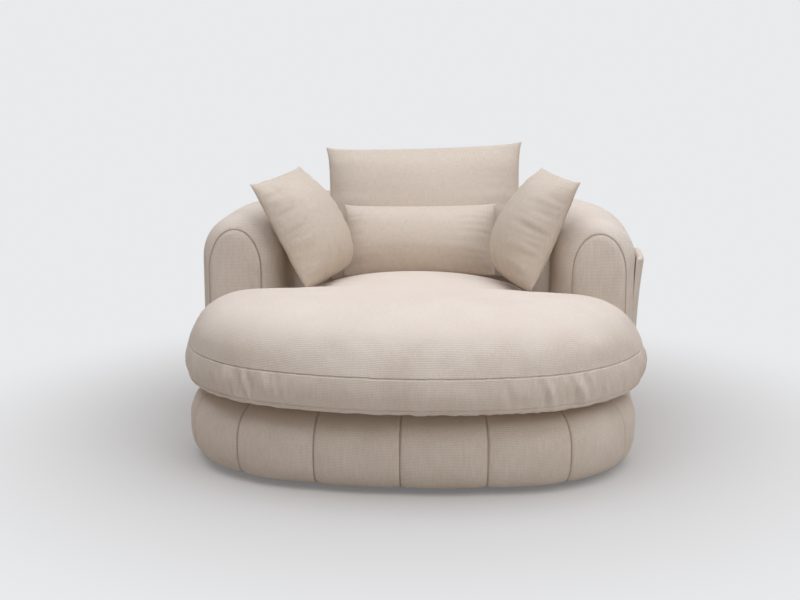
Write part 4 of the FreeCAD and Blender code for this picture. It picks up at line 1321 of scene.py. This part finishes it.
def make_stage():
    """Lay the floor that takes the shadow."""
    material, tree, shader = new_material("studio_floor")
    set_inputs(tree, shader, {
        "Base Color": FLOOR_COLOUR, "Roughness": 1.0, "Specular IOR Level": 0.0})
    glow = add_node(tree, "Emission", {"Color": SURROUND})
    where = tree.nodes.new("ShaderNodeTexCoord").outputs["Object"]
    away = add_node(tree, "VectorMath", {0: where})
    away.operation = "LENGTH"
    fade = range_node(tree, away.outputs["Value"], FADE_SPAN, FADE_SHARE, smooth=True)
    factor = math_node(tree, "MULTIPLY", seen_rays(tree), fade)
    mix_surface(tree, factor, shader, glow, "Material Output")
    bm = bmesh.new()
    bmesh.ops.create_circle(bm, cap_ends=True, segments=FLOOR_SIDES, radius=FLOOR_RADIUS)
    mesh = new_mesh("studio_floor", bm)
    mesh.materials.append(material)
    floor = new_object("studio_floor", mesh)


def make_air():
    """Warm soft light from all round, seen by the camera as the pale surround."""
    world = bpy.data.worlds.new("studio_air")
    world.use_nodes = True
    scene.world = world
    tree = world.node_tree
    aim = tree.nodes.new("ShaderNodeTexCoord").outputs["Generated"]
    up = add_node(tree, "SeparateXYZ", {0: aim}).outputs["Z"]
    air = tree.nodes["Background"]
    set_inputs(tree, air, {
        "Color": AIR_COLOUR, "Strength": range_node(tree, up, AIR_RISE, AIR_STRENGTH)})
    shown = add_node(tree, "Background", {"Color": SURROUND})
    mix_surface(tree, seen_rays(tree), air, shown, "World Output")


def make_light(name, place, aim, size, power, colour):
    """Hang one soft lamp and turn it to its aim."""
    lamp = bpy.data.lights.new(name, "AREA")
    lamp.shape = "RECTANGLE"
    lamp.size, lamp.size_y = size
    lamp.energy = power
    lamp.color = colour
    thing = new_object(name, lamp)
    thing.location = place
    way = Vector(aim) - Vector(place)
    thing.rotation_euler = way.to_track_quat("-Z", "Y").to_euler()


make_stage()
make_air()
make_light(
    "overhead_softbox", place=(0.1, -0.5, 3.3), aim=(0.0, -0.1, 0.4), size=(5.8, 3.6),
    power=122.0, colour=(0.92, 1.0, 1.15))
make_light(
    "right_fill", place=(2.5, -2.9, 2.9), aim=(0.1, 0.0, 0.45), size=(2.2, 1.8),
    power=36.0, colour=(0.98, 1.0, 1.03))


# Camera: seen from the front, a little from the viewer's right and from above.
CAMERA_PLACE = (0.31, -4.2425, 1.26)
CAMERA_DOWN = 11.41
CAMERA_TURN = 4.97
lens = bpy.data.cameras.new("camera")
lens.lens = 63.0
lens.sensor_width = 36.0
camera = new_object("camera", lens)
camera.location = CAMERA_PLACE
camera.rotation_euler = (
    math.radians(90 - CAMERA_DOWN), 0.0, math.radians(CAMERA_TURN))
scene.camera = camera

scene.view_settings.view_transform = "Standard"
